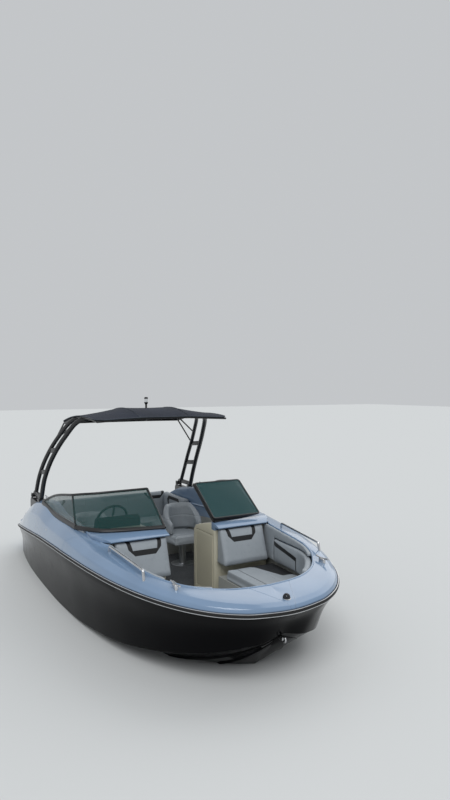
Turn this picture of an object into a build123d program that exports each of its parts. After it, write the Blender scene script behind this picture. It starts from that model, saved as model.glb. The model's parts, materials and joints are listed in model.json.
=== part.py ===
from build123d import *
import os
from math import cos, hypot, radians, sin

# Open bow sports boat with jet drive, windscreen, folding tow tower and sun canopy.
# Millimetres. +X points to the bow, +Y to port, +Z up.
# The origin is amidships, on the centreline, at the waterline of the empty boat.

os.makedirs("parts", exist_ok=True)

# Driving dimensions
TRANSOM_X = -2450
SHEER_MID = 692
SHEER_SLOPE = 0.058
SHEER_SAG = 2.7e-5
RAIL_PROUD = 20
FLOOR_Z = 100
SHELF_Z = 400
LINER = 20
TUB_AFT_X, TUB_FORE_X, TUB_HALF = -1720, 1130, 950
WALK_HALF = 280
FOOTWELL_X = 2000
CUSHION = 100
CONSOLE_AFT_X = 560

# Planes through the keel and the rail, fanned round the bow.
# keel_x, keel_z, rail_x, rail_y, chine part of the half width, chine_z, deck crown over the rail
STATIONS = (
    (-2450, -380, -2450, 1040, 0.950, -20, 60),
    (-1950, -380, -1950, 1120, 0.930, -12, 125),
    (-1500, -380, -1500, 1170, 0.915, -5, 290),
    (-1050, -380, -1050, 1198, 0.905, 0, 368),
    (-650, -380, -650, 1208, 0.900, 0, 372),
    (-100, -378, -100, 1213, 0.895, 10, 262),
    (500, -372, 500, 1206, 0.885, 32, 215),
    (1050, -350, 1100, 1168, 0.870, 75, 158),
    (1480, -305, 1560, 1105, 0.850, 120, 130),
    (1820, -225, 1950, 1008, 0.820, 175, 106),
    (2100, -110, 2270, 872, 0.785, 235, 84),
    (2310, 30, 2520, 702, 0.735, 290, 80),
    (2440, 150, 2690, 510, 0.680, 340, 78),
    (2520, 245, 2790, 300, 0.610, 375, 75),
    (2555, 300, 2835, 0, 0.450, 412, 70),
)


def sheer(x):
    """Height of the rub rail, where hull and deck meet."""
    return SHEER_MID + SHEER_SLOPE * x - SHEER_SAG * x * x


def station_plane(keel_x, rail_x, rail_y):
    """Upright plane with its local x running from the keel line out to the rail."""
    width = hypot(rail_x - keel_x, rail_y)
    out_x, out_y = (rail_x - keel_x) / width, rail_y / width
    return Plane(origin=(keel_x, 0, 0), x_dir=(out_x, out_y, 0), z_dir=(out_y, -out_x, 0)), width


def hull_outline(width, keel_z, chine_part, chine_z, rail_z):
    """Half section of the hull: vee bottom with two strakes, chine flat and flared side."""
    chine = chine_part * width
    rise = (chine_z - keel_z) / chine
    points = [(0, keel_z)]
    for part in (0.34, 0.62):
        inner, outer = part * chine, (part + 0.045) * chine
        points += [(inner, keel_z + rise * inner), (outer, keel_z + rise * inner),
                   (outer, keel_z + rise * outer)]
    side = (chine + width) / 2
    points += [(0.95 * chine, chine_z - 0.3 * rise * 0.05 * chine - 8), (chine, chine_z - 6),
               (side - 0.02 * width, (chine_z + rail_z) / 2), (width, rail_z - 30),
               (width, rail_z + 60), (0, rail_z + 60)]
    return points


def deck_outline(width, crown, rail_z):
    """Half section of the deck: upright flank, a crease, the shoulder and the cambered top."""
    inset = 90 + 0.15 * crown
    return [(0, rail_z - 60), (width, rail_z - 60), (width, rail_z + 20),
            (width - 0.14 * inset, rail_z + 0.56 * crown), (width - 0.24 * inset, rail_z + 0.65 * crown),
            (width - 0.65 * inset, rail_z + 0.91 * crown), (width - 1.15 * inset, rail_z + 1.01 * crown),
            (0, rail_z + crown + 20)]


def rail_outline(width, rail_z):
    """Section of the rub rail, flat against the rail land."""
    return [(width, rail_z - 20), (width + 0.7 * RAIL_PROUD, rail_z - 16), (width + RAIL_PROUD, rail_z - 3),
            (width + 0.7 * RAIL_PROUD, rail_z + 11), (width, rail_z + 15)]


def bars(points, radius, closed=False):
    """Round bar from point to point, with a ball at each inner corner, or at all of them in a loop."""
    ends = [*points[1:], points[0]] if closed else points[1:]
    for start, end in zip(points, ends):
        run = Vector(*end) - Vector(*start)
        with Locations(Plane(origin=(Vector(*start) + Vector(*end)) / 2, z_dir=run)):
            Cylinder(radius, run.length)
    corners = points if closed else points[1:-1]
    if corners:
        with Locations(*corners):
            Sphere(radius)


TUBE_SIDES = 14


def tube(line, radius, across, steps=4):
    """Tube along runs and bends, lofted through many-sided sections; across is about square to it."""
    edges = line.order_edges()
    sections = []
    for edge in edges:
        parts = [step / steps for step in range(1, steps)]
        if edge.geom_type == GeomType.LINE or len(edges) == 1:
            parts = (0, *parts, 1) if len(edges) == 1 else (0, 1)
        for part in parts:
            with BuildSketch(Plane(origin=edge @ part, x_dir=across, z_dir=edge % part)) as section:
                RegularPolygon(radius, TUBE_SIDES)
            sections.append(section.sketch)
    loft(sections, ruled=True)


def side_profile(points, low_y, high_y, mode=Mode.ADD):
    """Prism with an outline in the XZ plane, between two places along Y."""
    with BuildSketch(Plane.XZ.offset(-high_y)) as outline:
        with BuildLine():
            Polyline(*points, close=True)
        make_face()
    extrude(outline.sketch, amount=high_y - low_y, mode=mode)


def mirrored(point):
    """The same point on the other side of the centreline."""
    return (point[0], -point[1], point[2])


# Region under the sheer line, cut from the deck, and its complement, cut from the hull
with BuildPart() as under_sheer:
    with BuildSketch(Plane.XZ):
        with BuildLine():
            line = ThreePointArc((-3200, sheer(-3200)), (0, sheer(0)), (3200, sheer(3200)))
            Polyline(line @ 1, (3200, -900), (-3200, -900), line @ 0)
        make_face()
    extrude(amount=1500, both=True)


def tub_plan(grow):
    """Plan of the cockpit tub, grown by the liner's thickness or by nothing."""
    shoulder_x, shoulder_y = TUB_FORE_X - 60, TUB_HALF + grow
    fore_x, aft_x = TUB_FORE_X + grow, TUB_AFT_X - grow
    with BuildSketch() as plan:
        with BuildLine():
            Polyline((aft_x, 0), (aft_x, shoulder_y), (shoulder_x, shoulder_y), (fore_x, 918 + grow),
                     (fore_x, 0), close=True)
        make_face()
        mirror(about=Plane.XZ)
    return plan.sketch


def well_plan(grow):
    """Plan of the cockpit and the bow well together."""
    out = 0.7 * grow
    with BuildSketch() as plan:
        with BuildLine():
            aft = Polyline((TUB_AFT_X - grow, 0), (TUB_AFT_X - grow, TUB_HALF + grow),
                           (TUB_FORE_X - 60, TUB_HALF + grow), (TUB_FORE_X + grow, 918 + grow),
                           (1800, 868 + grow))
            side = ThreePointArc(aft @ 1, (2165 + out, 712 + out), (2390 + out, 470 + out))
            nose = ThreePointArc(side @ 1, (2470 + grow, 245), (2490 + grow, 0))
            Line(nose @ 1, aft @ 0)
        make_face()
        mirror(about=Plane.XZ)
    return plan.sketch


def footwell_plan(grow):
    """Plan of the footwell between the bow seats, open to the cockpit behind it."""
    with BuildSketch() as plan:
        with BuildLine():
            Polyline((TUB_FORE_X - 200, 0), (TUB_FORE_X - 200, WALK_HALF + grow),
                     (FOOTWELL_X - 90, WALK_HALF + grow), (FOOTWELL_X + grow, WALK_HALF - 90),
                     (FOOTWELL_X + grow, 0), close=True)
        make_face()
        mirror(about=Plane.XZ)
    return plan.sketch


def tub(grow):
    """The open space inside the liner, or with its thickness added, the liner's outer form."""
    with BuildPart() as form:
        for plan, bottom in ((tub_plan, FLOOR_Z), (footwell_plan, FLOOR_Z), (well_plan, SHELF_Z)):
            with BuildSketch(Plane.XY.offset(bottom - grow)):
                add(plan(grow))
            extrude(amount=1200 - bottom)
    return form.part


liner_outer, liner_space = tub(LINER), tub(0)
with BuildPart() as liner:
    add(liner_outer)
    add(liner_space, mode=Mode.SUBTRACT)
    add(under_sheer.part, mode=Mode.INTERSECT)

# Hatch over the engine: top edges (x, z), half width and thickness of its lid
HATCH_FORE, HATCH_AFT, HATCH_HALF, LID = (-1766, 715), (-2314, 515), 600, 50
HINGE_R = 5

# Engine bay in the hull, under the hatch, and the jet's intake in its bottom
BAY_AFT_X, BAY_FORE_X, BAY_HALF, BAY_Z = -2300, -1780, 400, -150
INTAKE_AFT_X, INTAKE_FORE_X, INTAKE_HALF, INTAKE_Z = -2200, -1760, 84, -300
with BuildPart() as hull:
    for keel_x, keel_z, rail_x, rail_y, chine_part, chine_z, crown in STATIONS:
        plane, width = station_plane(keel_x, rail_x, rail_y)
        with BuildSketch(plane):
            with BuildLine():
                Polyline(*hull_outline(width, keel_z, chine_part, chine_z, sheer(rail_x)), close=True)
            make_face()
    loft(ruled=True)
    mirror(about=Plane.XZ)
    add(under_sheer.part, mode=Mode.INTERSECT)
    add(liner_outer, mode=Mode.SUBTRACT)
    with BuildSketch(Plane.XY.offset(BAY_Z)):
        with Locations(((BAY_AFT_X + BAY_FORE_X) / 2, 0)):
            Rectangle(BAY_FORE_X - BAY_AFT_X, 2 * BAY_HALF)
    extrude(amount=1000, mode=Mode.SUBTRACT)
    with BuildSketch(Plane.XY.offset(INTAKE_Z)):
        with Locations(((INTAKE_AFT_X + INTAKE_FORE_X) / 2, 0)):
            Rectangle(INTAKE_FORE_X - INTAKE_AFT_X, 2 * INTAKE_HALF)
    extrude(amount=-100, mode=Mode.SUBTRACT)

with BuildPart() as deck:
    for keel_x, keel_z, rail_x, rail_y, chine_part, chine_z, crown in STATIONS:
        plane, width = station_plane(keel_x, rail_x, rail_y)
        with BuildSketch(plane):
            with BuildLine():
                Polyline(*deck_outline(width, crown, sheer(rail_x)), close=True)
            make_face()
    loft(ruled=True)
    mirror(about=Plane.XZ)
    add(under_sheer.part, mode=Mode.SUBTRACT)
    with BuildSketch(Plane.XY):
        add(well_plan(0))
    extrude(amount=1500, mode=Mode.SUBTRACT)
    fore_x, aft_x = HATCH_FORE[0] + 6, HATCH_AFT[0] - 6
    side_profile([(fore_x, HATCH_FORE[1] - LID + 2), (aft_x, HATCH_AFT[1] - LID - 2.6), (aft_x, 900),
                  (fore_x, 900)], -HATCH_HALF - 6, HATCH_HALF + 6, Mode.SUBTRACT)
    with Locations((-2040, 0, 400)):
        Box(500, 1120, 600, mode=Mode.SUBTRACT)

with BuildPart() as rub_rail:
    for keel_x, keel_z, rail_x, rail_y, chine_part, chine_z, crown in STATIONS:
        plane, width = station_plane(keel_x, rail_x, rail_y)
        with BuildSketch(plane):
            with BuildLine():
                Polyline(*rail_outline(width, sheer(rail_x)), close=True)
            make_face()
    loft(ruled=True)
    mirror(about=Plane.XZ)

# Engine, and the hatch over it with its pad, in its rebate in the deck
with BuildPart() as engine:
    with Locations((-2050, 0, BAY_Z)):
        Box(460, 560, 470, align=(Align.CENTER, Align.CENTER, Align.MIN))
    chamfer(engine.edges().filter_by(Axis.X).group_by(Axis.Z)[-1], 60)
with BuildPart() as engine_hatch:
    (fore_x, fore_z), (aft_x, aft_z) = HATCH_FORE, HATCH_AFT
    side_profile([(fore_x, fore_z), (aft_x, aft_z), (aft_x, aft_z - LID), (fore_x, fore_z - LID)],
                 -HATCH_HALF, HATCH_HALF)
    fillet(engine_hatch.edges().filter_by(Axis.Z), 40)
    for y in (-450, 450):
        with Locations(Plane(origin=(fore_x - 1, y, fore_z), z_dir=(0, 1, 0))):
            Cylinder(HINGE_R, 180)
with BuildPart() as sun_pad:
    side_profile([(-1800, 703), (-2290, 524), (-2300, 575), (-1815, 752)], -560, 560)
    fillet(sun_pad.edges().filter_by(Axis.Y).group_by(Axis.Z)[-1], 18)

# Seats in the bow
with BuildPart() as bow_cushions:
    with BuildSketch(Plane.XY.offset(SHELF_Z)) as seats:
        with BuildLine():
            side = Polyline((2040, 0), (2040, WALK_HALF + 8), (1290, WALK_HALF + 8), (1290, 898),
                            (1800, 856))
            round_side = ThreePointArc(side @ 1, (2157, 704), (2380, 466))
            round_nose = ThreePointArc(round_side @ 1, (2460, 243), (2480, 0))
            Line(round_nose @ 1, side @ 0)
        make_face()
        mirror(about=Plane.XZ)
        with Locations((2036, 0)):
            Rectangle(6, 2000, mode=Mode.SUBTRACT)
    extrude(amount=CUSHION)
with BuildPart() as bow_backrests:
    side_profile([(1042, 505), (1280, 505), (1258, 572), (1132, 892), (1042, 892)], WALK_HALF + 8, 858)
    mirror(about=Plane.XZ)
with BuildPart() as bow_bolsters:
    with BuildSketch(Plane.XY.offset(SHELF_Z + CUSHION + 8)):
        with BuildLine():
            outer = ThreePointArc((1800, 863), (2160, 707), (2385, 466))
            inner = ThreePointArc((2338, 430), (2125, 660), (1790, 808))
            Line(outer @ 1, inner @ 0)
            Polyline(inner @ 1, (1300, 840), (1300, 896), outer @ 0)
        make_face()
    extrude(amount=265)
    mirror(about=Plane.XZ)

# Consoles either side of the walkthrough, with the cowls that carry the windscreen
# Openings of the locker door (x, z) and the glovebox (y, z), and their hinge lines
DOOR, DOOR_HINGE = (624, 1000, 184, 800), (996, 279)
GLOVE, GLOVE_HINGE = (556, 896, 564, 776), (CONSOLE_AFT_X - 1, 568)
COWL_BASE = 860


def cowl_plan(grow):
    """Plan of a cowl: a band under the windscreen, from the walkthrough round to the deck."""
    with BuildSketch() as plan:
        with BuildLine():
            Polyline((975 - grow, 270), (1140, 270), (1140, 880), (1030, 955), (900, 1005),
                     (640 - grow, 1005), (700 - grow, 955), (838 - grow, 830), close=True)
        make_face()
    return plan.sketch


with BuildPart() as console_port:
    side_profile([(CONSOLE_AFT_X, FLOOR_Z), (CONSOLE_AFT_X, 790), (CONSOLE_AFT_X + 45, 840), (720, 876),
                  (975, 931), (1040, 931), (1040, FLOOR_Z)], WALK_HALF, 940)
    with BuildSketch(Plane.XY.offset(COWL_BASE)):
        add(cowl_plan(1))
    extrude(amount=100, mode=Mode.SUBTRACT)
    low_x, high_x, low_z, high_z = DOOR
    with Locations(((low_x + high_x) / 2, WALK_HALF, (low_z + high_z) / 2)):
        Box(high_x - low_x + 8, 42, high_z - low_z + 8, mode=Mode.SUBTRACT)
        Box(high_x - low_x - 32, 500, high_z - low_z - 32, mode=Mode.SUBTRACT)
    low_y, high_y, low_z, high_z = GLOVE
    with Locations((CONSOLE_AFT_X, (low_y + high_y) / 2, (low_z + high_z) / 2)):
        Box(42, high_y - low_y + 8, high_z - low_z + 8, mode=Mode.SUBTRACT)
        Box(370, high_y - low_y - 32, high_z - low_z - 32, mode=Mode.SUBTRACT)
with BuildPart() as console_door:
    low_x, high_x, low_z, high_z = DOOR
    with Locations(((low_x + high_x) / 2, WALK_HALF + 10, (low_z + high_z) / 2)):
        Box(high_x - low_x, 18, high_z - low_z)
    fillet(console_door.edges().filter_by(Axis.Y), 20)
    with Locations((*DOOR_HINGE, (low_z + high_z) / 2)):
        Cylinder(HINGE_R - 1, 540)
with BuildPart() as glovebox_lid:
    low_y, high_y, low_z, high_z = GLOVE
    with Locations((CONSOLE_AFT_X + 10, (low_y + high_y) / 2, (low_z + high_z) / 2)):
        Box(18, high_y - low_y, high_z - low_z)
    fillet(glovebox_lid.edges().filter_by(Axis.X), 15)
    with Locations(Plane(origin=(GLOVE_HINGE[0], (low_y + high_y) / 2, GLOVE_HINGE[1]), z_dir=(0, 1, 0))):
        Cylinder(HINGE_R - 1, high_y - low_y - 30)
with BuildPart() as console_starboard:
    side_profile([(560, FLOOR_Z), (560, 600), (260, 620), (240, 820), (280, 860), (400, 862), (720, 876),
                  (975, 931), (1040, 931), (1040, FLOOR_Z)], -940, -WALK_HALF)
    with BuildSketch(Plane.XY.offset(COWL_BASE)):
        add(mirror(cowl_plan(1), about=Plane.XZ, mode=Mode.PRIVATE))
    extrude(amount=100, mode=Mode.SUBTRACT)
with BuildPart() as cowls:
    side_profile([(600, 861), (1041, 861), (1041, 893), (1130, 893), (1136, 904), (1020, 942), (600, 942)],
                 WALK_HALF, 1005)
    with BuildSketch(Plane.XY.offset(800)):
        add(cowl_plan(0))
    extrude(amount=300, mode=Mode.INTERSECT)
    mirror(about=Plane.XZ)
    add(deck.part, mode=Mode.SUBTRACT)

# Helm: instrument pod, wheel and throttle
WHEEL_CENTRE = (100, -520, 900)
WHEEL_TILT = 25
wheel_out = (-cos(radians(WHEEL_TILT)), 0, sin(radians(WHEEL_TILT)))
wheel_plane = Plane(origin=WHEEL_CENTRE, x_dir=(0, -1, 0), z_dir=wheel_out)
with BuildPart() as dash_pod:
    side_profile([(270, 780), (224, 815), (222, 850), (262, 955), (330, 975), (400, 944), (400, 850)],
                 -770, -300)
    fillet(dash_pod.edges().filter_by(Axis.Y).group_by(Axis.Z)[-1], 12)
    with BuildSketch(wheel_plane.offset(-22.5)):
        Circle(28)
    extrude(amount=-150)
    add(console_starboard.part, mode=Mode.SUBTRACT)
    add(cowls.part, mode=Mode.SUBTRACT)
with BuildPart() as steering_wheel:
    with BuildSketch(Plane(origin=WHEEL_CENTRE, x_dir=(0, -1, 0), z_dir=(-wheel_out[2], 0, wheel_out[0]))):
        with Locations((170, 0)):
            RegularPolygon(14, 8)
    revolve(axis=Axis(WHEEL_CENTRE, wheel_out))
    with Locations(wheel_plane):
        Cylinder(38, 40)
    for angle in (90, 210, 330):
        reach = (160 * cos(radians(angle)), 160 * sin(radians(angle)), 0)
        bars([tuple(wheel_plane.origin), tuple(wheel_plane.from_local_coords(reach))], 9)
with BuildPart() as throttle:
    with Locations((160, -925, 770)):
        Box(130, 50, 150)
    bars([(165, -915, 800), (150, -885, 905), (150, -850, 910)], 8)

# Bucket seats on pedestals
SEAT_X, SEAT_Y, SEAT_Z = -400, 600, 400
seat = {}
for side, sign in (("companion", 1), ("helm", -1)):
    with BuildPart() as seat[side]:
        with BuildSketch(Plane.XY.offset(SEAT_Z)) as cushion:
            with Locations((SEAT_X, sign * SEAT_Y)):
                Circle(250)
            with Locations((SEAT_X + 120, sign * SEAT_Y)):
                RectangleRounded(260, 440, 60)
        extrude(amount=110)
        with BuildSketch(Plane.XY.offset(SEAT_Z + 110)):
            with Locations((SEAT_X, sign * SEAT_Y)):
                Circle(250)
                Circle(180, mode=Mode.SUBTRACT)
            with Locations((SEAT_X + 190, sign * SEAT_Y)):
                Rectangle(300, 520, mode=Mode.SUBTRACT)
        extrude(amount=370)
        with BuildSketch(Plane.XZ.offset(-600 * sign)):
            with BuildLine():
                Polyline((SEAT_X - 120, 900), (SEAT_X + 60, 620), (SEAT_X + 60, 900), close=True)
            make_face()
        extrude(amount=300, both=True, mode=Mode.SUBTRACT)
with BuildPart() as seat_pedestals:
    with Locations((SEAT_X, SEAT_Y, FLOOR_Z), (SEAT_X, -SEAT_Y, FLOOR_Z)):
        Cylinder(150, 12, align=(Align.CENTER, Align.CENTER, Align.MIN))
        Cylinder(45, SEAT_Z - FLOOR_Z - 0.5, align=(Align.CENTER, Align.CENTER, Align.MIN))

# Wrap round bench at the stern, with a wing along the port side
WING_X, WING_Y = -850, 470
with BuildPart() as bench_base:
    with BuildSketch(Plane.XY.offset(FLOOR_Z)):
        with BuildLine():
            Polyline((TUB_AFT_X, -TUB_HALF), (-1250, -TUB_HALF), (-1250, WING_Y), (WING_X, WING_Y),
                     (WING_X, TUB_HALF), (TUB_AFT_X, TUB_HALF), close=True)
        make_face()
    extrude(amount=SHELF_Z - FLOOR_Z)
with BuildPart() as bench_cushions:
    with BuildSketch(Plane.XY.offset(SHELF_Z)):
        with Locations((-1412, 0)):
            Rectangle(370, 1870)
        with Locations(((WING_X - 1221) / 2, 705)):
            Rectangle(-1221 - WING_X, 460)
    extrude(amount=CUSHION)
with BuildPart() as bench_backrest:
    side_profile([(-1715, 405), (-1602, 405), (-1602, 505), (-1645, 850), (-1715, 850)], -935, 935)
    fillet(bench_backrest.edges().filter_by(Axis.Y).group_by(Axis.Z)[-1], 25)
with BuildPart() as bench_bolsters:
    for sign, fore_x in ((1, WING_X), (-1, -1235)):
        with Locations(((fore_x - 1596) / 2, sign * 895, 508)):
            Box(fore_x + 1596, 84, 342, align=(Align.CENTER, Align.CENTER, Align.MIN))
    chamfer(bench_bolsters.edges().filter_by(Axis.X).group_by(Axis.Z)[-1], 18)
with BuildPart() as floor_mat:
    with BuildSketch(Plane.XY.offset(FLOOR_Z)):
        with BuildLine():
            Polyline((-1245, -945), (545, -945), (545, -275), (1905, -275), (1905, 275), (545, 275),
                     (545, 945), (-845, 945), (-845, 465), (-1245, 465), close=True)
        make_face()
        with Locations((SEAT_X, SEAT_Y), (SEAT_X, -SEAT_Y)):
            Circle(152, mode=Mode.SUBTRACT)
    extrude(amount=6)

# Windscreen: foot and head of each post, from the walkthrough round to the aft end
POSTS = (
    ((1022, 282, 953), (548, 282, 1282)),
    ((880, 855, 953), (449, 798, 1262)),
    ((740, 985, 953), (325, 925, 1244)),
    ((544, 1060, 945), (208, 997, 1225)),
    ((-150, 1092, 950), (-240, 1050, 1158)),
    ((-697, 1099, 1000), (-690, 1099, 1022)),
)
FRAME_R, SILL_R = 13, 19
feet, heads = [foot for foot, head in POSTS], [head for foot, head in POSTS]
with BuildPart() as windscreen_frame:
    bars([feet[5], *heads[4::-1], *feet[:4]], FRAME_R)
    bars(feet[3:], SILL_R)
    bars([feet[3], heads[3]], FRAME_R - 2)
    mirror(about=Plane.XZ)
    add(deck.part, mode=Mode.SUBTRACT)
    add(cowls.part, mode=Mode.SUBTRACT)
with BuildPart() as windscreen_glass:
    for foot, head, beside in zip(feet, heads, feet[1:] + feet[-2:-1]):
        up = Vector(*head) - Vector(*foot)
        facing = up.cross(Vector(*beside) - Vector(*foot)).normalized()
        middle = (Vector(*head) + Vector(*foot)) / 2
        with BuildSketch(Plane(origin=middle, x_dir=up, z_dir=up.cross(facing))):
            Rectangle(up.length, 6)
    loft(ruled=True)
    mirror(about=Plane.XZ)
    add(windscreen_frame.part, mode=Mode.SUBTRACT)
    add(deck.part, mode=Mode.SUBTRACT)
    # A front pane and a side pane on each side, without the chips left at the corners
    add(windscreen_glass.solids().sort_by(SortBy.VOLUME)[-4:], mode=Mode.REPLACE)

# Walkthrough gate, standing open in front of the port windscreen
GATE_OPEN = 180
GATE_WIDTH, GATE_TALL, GATE_R = 572, 545, 10
post_run = (Vector(*POSTS[0][1]) - Vector(*POSTS[0][0])).normalized()
post_face = Vector(-post_run.Z, 0, post_run.X) * -1
hinge_foot = Vector(*POSTS[0][0]) + post_face * 30 + post_run * 15
post_axis = Axis((0, 0, 0), post_run)
gate_plane = Plane(origin=hinge_foot, x_dir=Vector(0, -1, 0).rotate(post_axis, GATE_OPEN),
                   z_dir=(post_face * -1).rotate(post_axis, GATE_OPEN))


def on_gate(across, up):
    """A point of the gate, across from its hinge and up from its foot."""
    return tuple(gate_plane.from_local_coords((across, up, 0)))


with BuildPart() as gate_frame:
    bars([on_gate(0, 0), on_gate(GATE_WIDTH, 0), on_gate(GATE_WIDTH, GATE_TALL), on_gate(0, GATE_TALL)],
         GATE_R, closed=True)
with BuildPart() as gate_glass:
    with BuildSketch(gate_plane):
        with Locations((GATE_WIDTH / 2, GATE_TALL / 2)):
            Rectangle(GATE_WIDTH, GATE_TALL)
    extrude(amount=2.5, both=True)
    add(gate_frame.part, mode=Mode.SUBTRACT)

# Tow tower: two arched hoops joined by plates, hinged at their aft feet
TUBE_R = 28
# x of the aft hoop, x of the fore hoop, y and z, from the port foot up to near the middle
HOOPS = (
    (-1359, -1047, 1038, 1000),
    (-1237, -953, 1032, 1200),
    (-1087, -814, 1010, 1400),
    (-892, -632, 971, 1600),
    (-668, -419, 908, 1800),
    (-402, -175, 803, 2000),
    (-318, -98, 690, 2032),
    (-280, -60, 520, 2054),
    (-266, -46, 250, 2076),
)
RUNGS = (1310, 1600)
PIVOT = (-1440, 1040, 975)
TANG_R, PIN_R = 27, 8
TOWER_BASE = 985
FOOT_TOP = 940
TOW_X, TOW_Z = HOOPS[-1][0], HOOPS[-1][3] + 2


def hoop_point(column, height):
    """Point on a port leg at a height: column 0 is the aft hoop, 1 the fore hoop."""
    for low, high in zip(HOOPS, HOOPS[1:]):
        if low[3] <= height <= high[3]:
            part = (height - low[3]) / (high[3] - low[3])
            x, y = (low[i] + (high[i] - low[i]) * part for i in (column, 2))
            return (x, y, height)


with BuildPart() as tower:
    for column in (0, 1):
        leg = [(row[column], row[2], row[3]) for row in HOOPS]
        with BuildLine() as hoop:
            Spline(*leg, *(mirrored(point) for point in reversed(leg)))
        tube(hoop.wire(), TUBE_R, across=(1, 0, 0), steps=24)
    for height in RUNGS:
        aft, fore = Vector(*hoop_point(0, height)), Vector(*hoop_point(1, height + 30))
        for sign in (1, -1):
            run = Vector(fore.X - aft.X, sign * (fore.Y - aft.Y), fore.Z - aft.Z)
            middle = Vector((aft.X + fore.X) / 2, sign * (aft.Y + fore.Y) / 2, (aft.Z + fore.Z) / 2)
            with Locations(Plane(origin=middle, x_dir=run, z_dir=run.cross(Vector(0, 1, 0)))):
                Box(run.length, 18, 58)
    for sign in (1, -1):
        with Locations(((PIVOT[0] - 1030) / 2, sign * PIVOT[1], TOWER_BASE)):
            Box(-1030 - PIVOT[0], 30, 55, align=(Align.CENTER, Align.CENTER, Align.MIN))
        with Locations(Plane(origin=(PIVOT[0], sign * PIVOT[1], PIVOT[2]), z_dir=(0, 1, 0))):
            Cylinder(TANG_R, 50)
            Cylinder(PIN_R + 0.05, 60, mode=Mode.SUBTRACT)
    for y in (-300, 0, 300):
        bars([(TOW_X, y, TOW_Z), (HOOPS[-1][1], y, TOW_Z)], 14)
    with Locations(Plane(origin=(TOW_X, 0, TOW_Z), z_dir=(-1, 0, 0))):
        Cylinder(12, 75, align=(Align.CENTER, Align.CENTER, Align.MIN))
        with Locations((0, 0, 70)):
            Cylinder(22, 10, align=(Align.CENTER, Align.CENTER, Align.MIN))
with BuildPart() as tower_feet:
    for sign in (1, -1):
        side = sign * PIVOT[1]
        side_profile([(-1480, 780), (-1480, FOOT_TOP - 30), (-1465, FOOT_TOP), (-1000, FOOT_TOP),
                      (-990, 880), (-990, 780)], side - 42, side + 42)
        with Locations((-1055, side, FOOT_TOP)):
            Box(90, 76, TOWER_BASE - FOOT_TOP - 0.5, align=(Align.CENTER, Align.CENTER, Align.MIN))
        for offset_y in (-31, 31):
            with Locations((PIVOT[0], side + offset_y, FOOT_TOP)):
                Box(56, 10, 62, align=(Align.CENTER, Align.CENTER, Align.MIN))
        with Locations(Plane(origin=(PIVOT[0], side, PIVOT[2]), z_dir=(0, 1, 0))):
            Cylinder(PIN_R, 84)
    add(deck.part, mode=Mode.SUBTRACT)

# Sun canopy on its frame, and the all round light
# y, fore edge z, crest z, aft edge z of the canopy's top
CANOPY = (
    (-815, 2030, 2058, 1946),
    (-300, 2052, 2142, 1952),
    (300, 2052, 2142, 1952),
    (815, 2030, 2058, 1946),
)
CANOPY_FORE, CANOPY_MID, CANOPY_AFT, CANOPY_THICK = 420, -150, -950, 14
BATTEN_R, STRUT_R = 11, 9
LIGHT_X = -156
with BuildPart() as canopy_frame:
    for x, z, ridge_z in ((395, 2010, 2034), (-925, 1932, 1937)):
        bars([(x, -785, z), (x, -300, ridge_z), (x, 300, ridge_z), (x, 785, z)], BATTEN_R)
    for y, fore_z, mid_z, aft_z in ((300, 2034, 2118, 1937), (785, 2010, 2040, 1932)):
        for sign in (1, -1):
            side = sign * y
            bars([(395, side, fore_z), (150, side, (fore_z + 2 * mid_z) / 3 + 4), (CANOPY_MID, side, mid_z),
                  (-500, side, (aft_z + 3 * mid_z) / 4 + 2), (-925, side, aft_z)], BATTEN_R)
    for sign in (1, -1):
        for height, end in ((1620, (-925, 785, 1932)), (1770, (-650, 655, 1992))):
            x, y, z = hoop_point(0, height)
            bars([(x, sign * y, z), (end[0], sign * end[1], end[2])], STRUT_R)
    add(tower.part, mode=Mode.SUBTRACT)
with BuildPart() as nav_light:
    with Locations((LIGHT_X, 0, TOW_Z + 10)):
        Cylinder(12, 100, align=(Align.CENTER, Align.CENTER, Align.MIN))
        with Locations((0, 0, 100)):
            Cylinder(22, 75, align=(Align.CENTER, Align.CENTER, Align.MIN))
    add(tower.part, mode=Mode.SUBTRACT)
with BuildPart() as canopy:
    for y, fore_z, crest_z, aft_z in CANOPY:
        with BuildSketch(Plane.XZ.offset(-y)):
            with BuildLine():
                over = ThreePointArc((CANOPY_FORE, fore_z), (CANOPY_MID, crest_z), (CANOPY_AFT, aft_z))
                under = ThreePointArc((CANOPY_AFT, aft_z - CANOPY_THICK),
                                      (CANOPY_MID, crest_z - CANOPY_THICK),
                                      (CANOPY_FORE, fore_z - CANOPY_THICK))
                Line(over @ 1, under @ 0)
                Line(under @ 1, over @ 0)
            make_face()
    loft(ruled=True)
    add(canopy_frame.part, mode=Mode.SUBTRACT)
    add(tower.part, mode=Mode.SUBTRACT)
    add(nav_light.part, mode=Mode.SUBTRACT)

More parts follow.
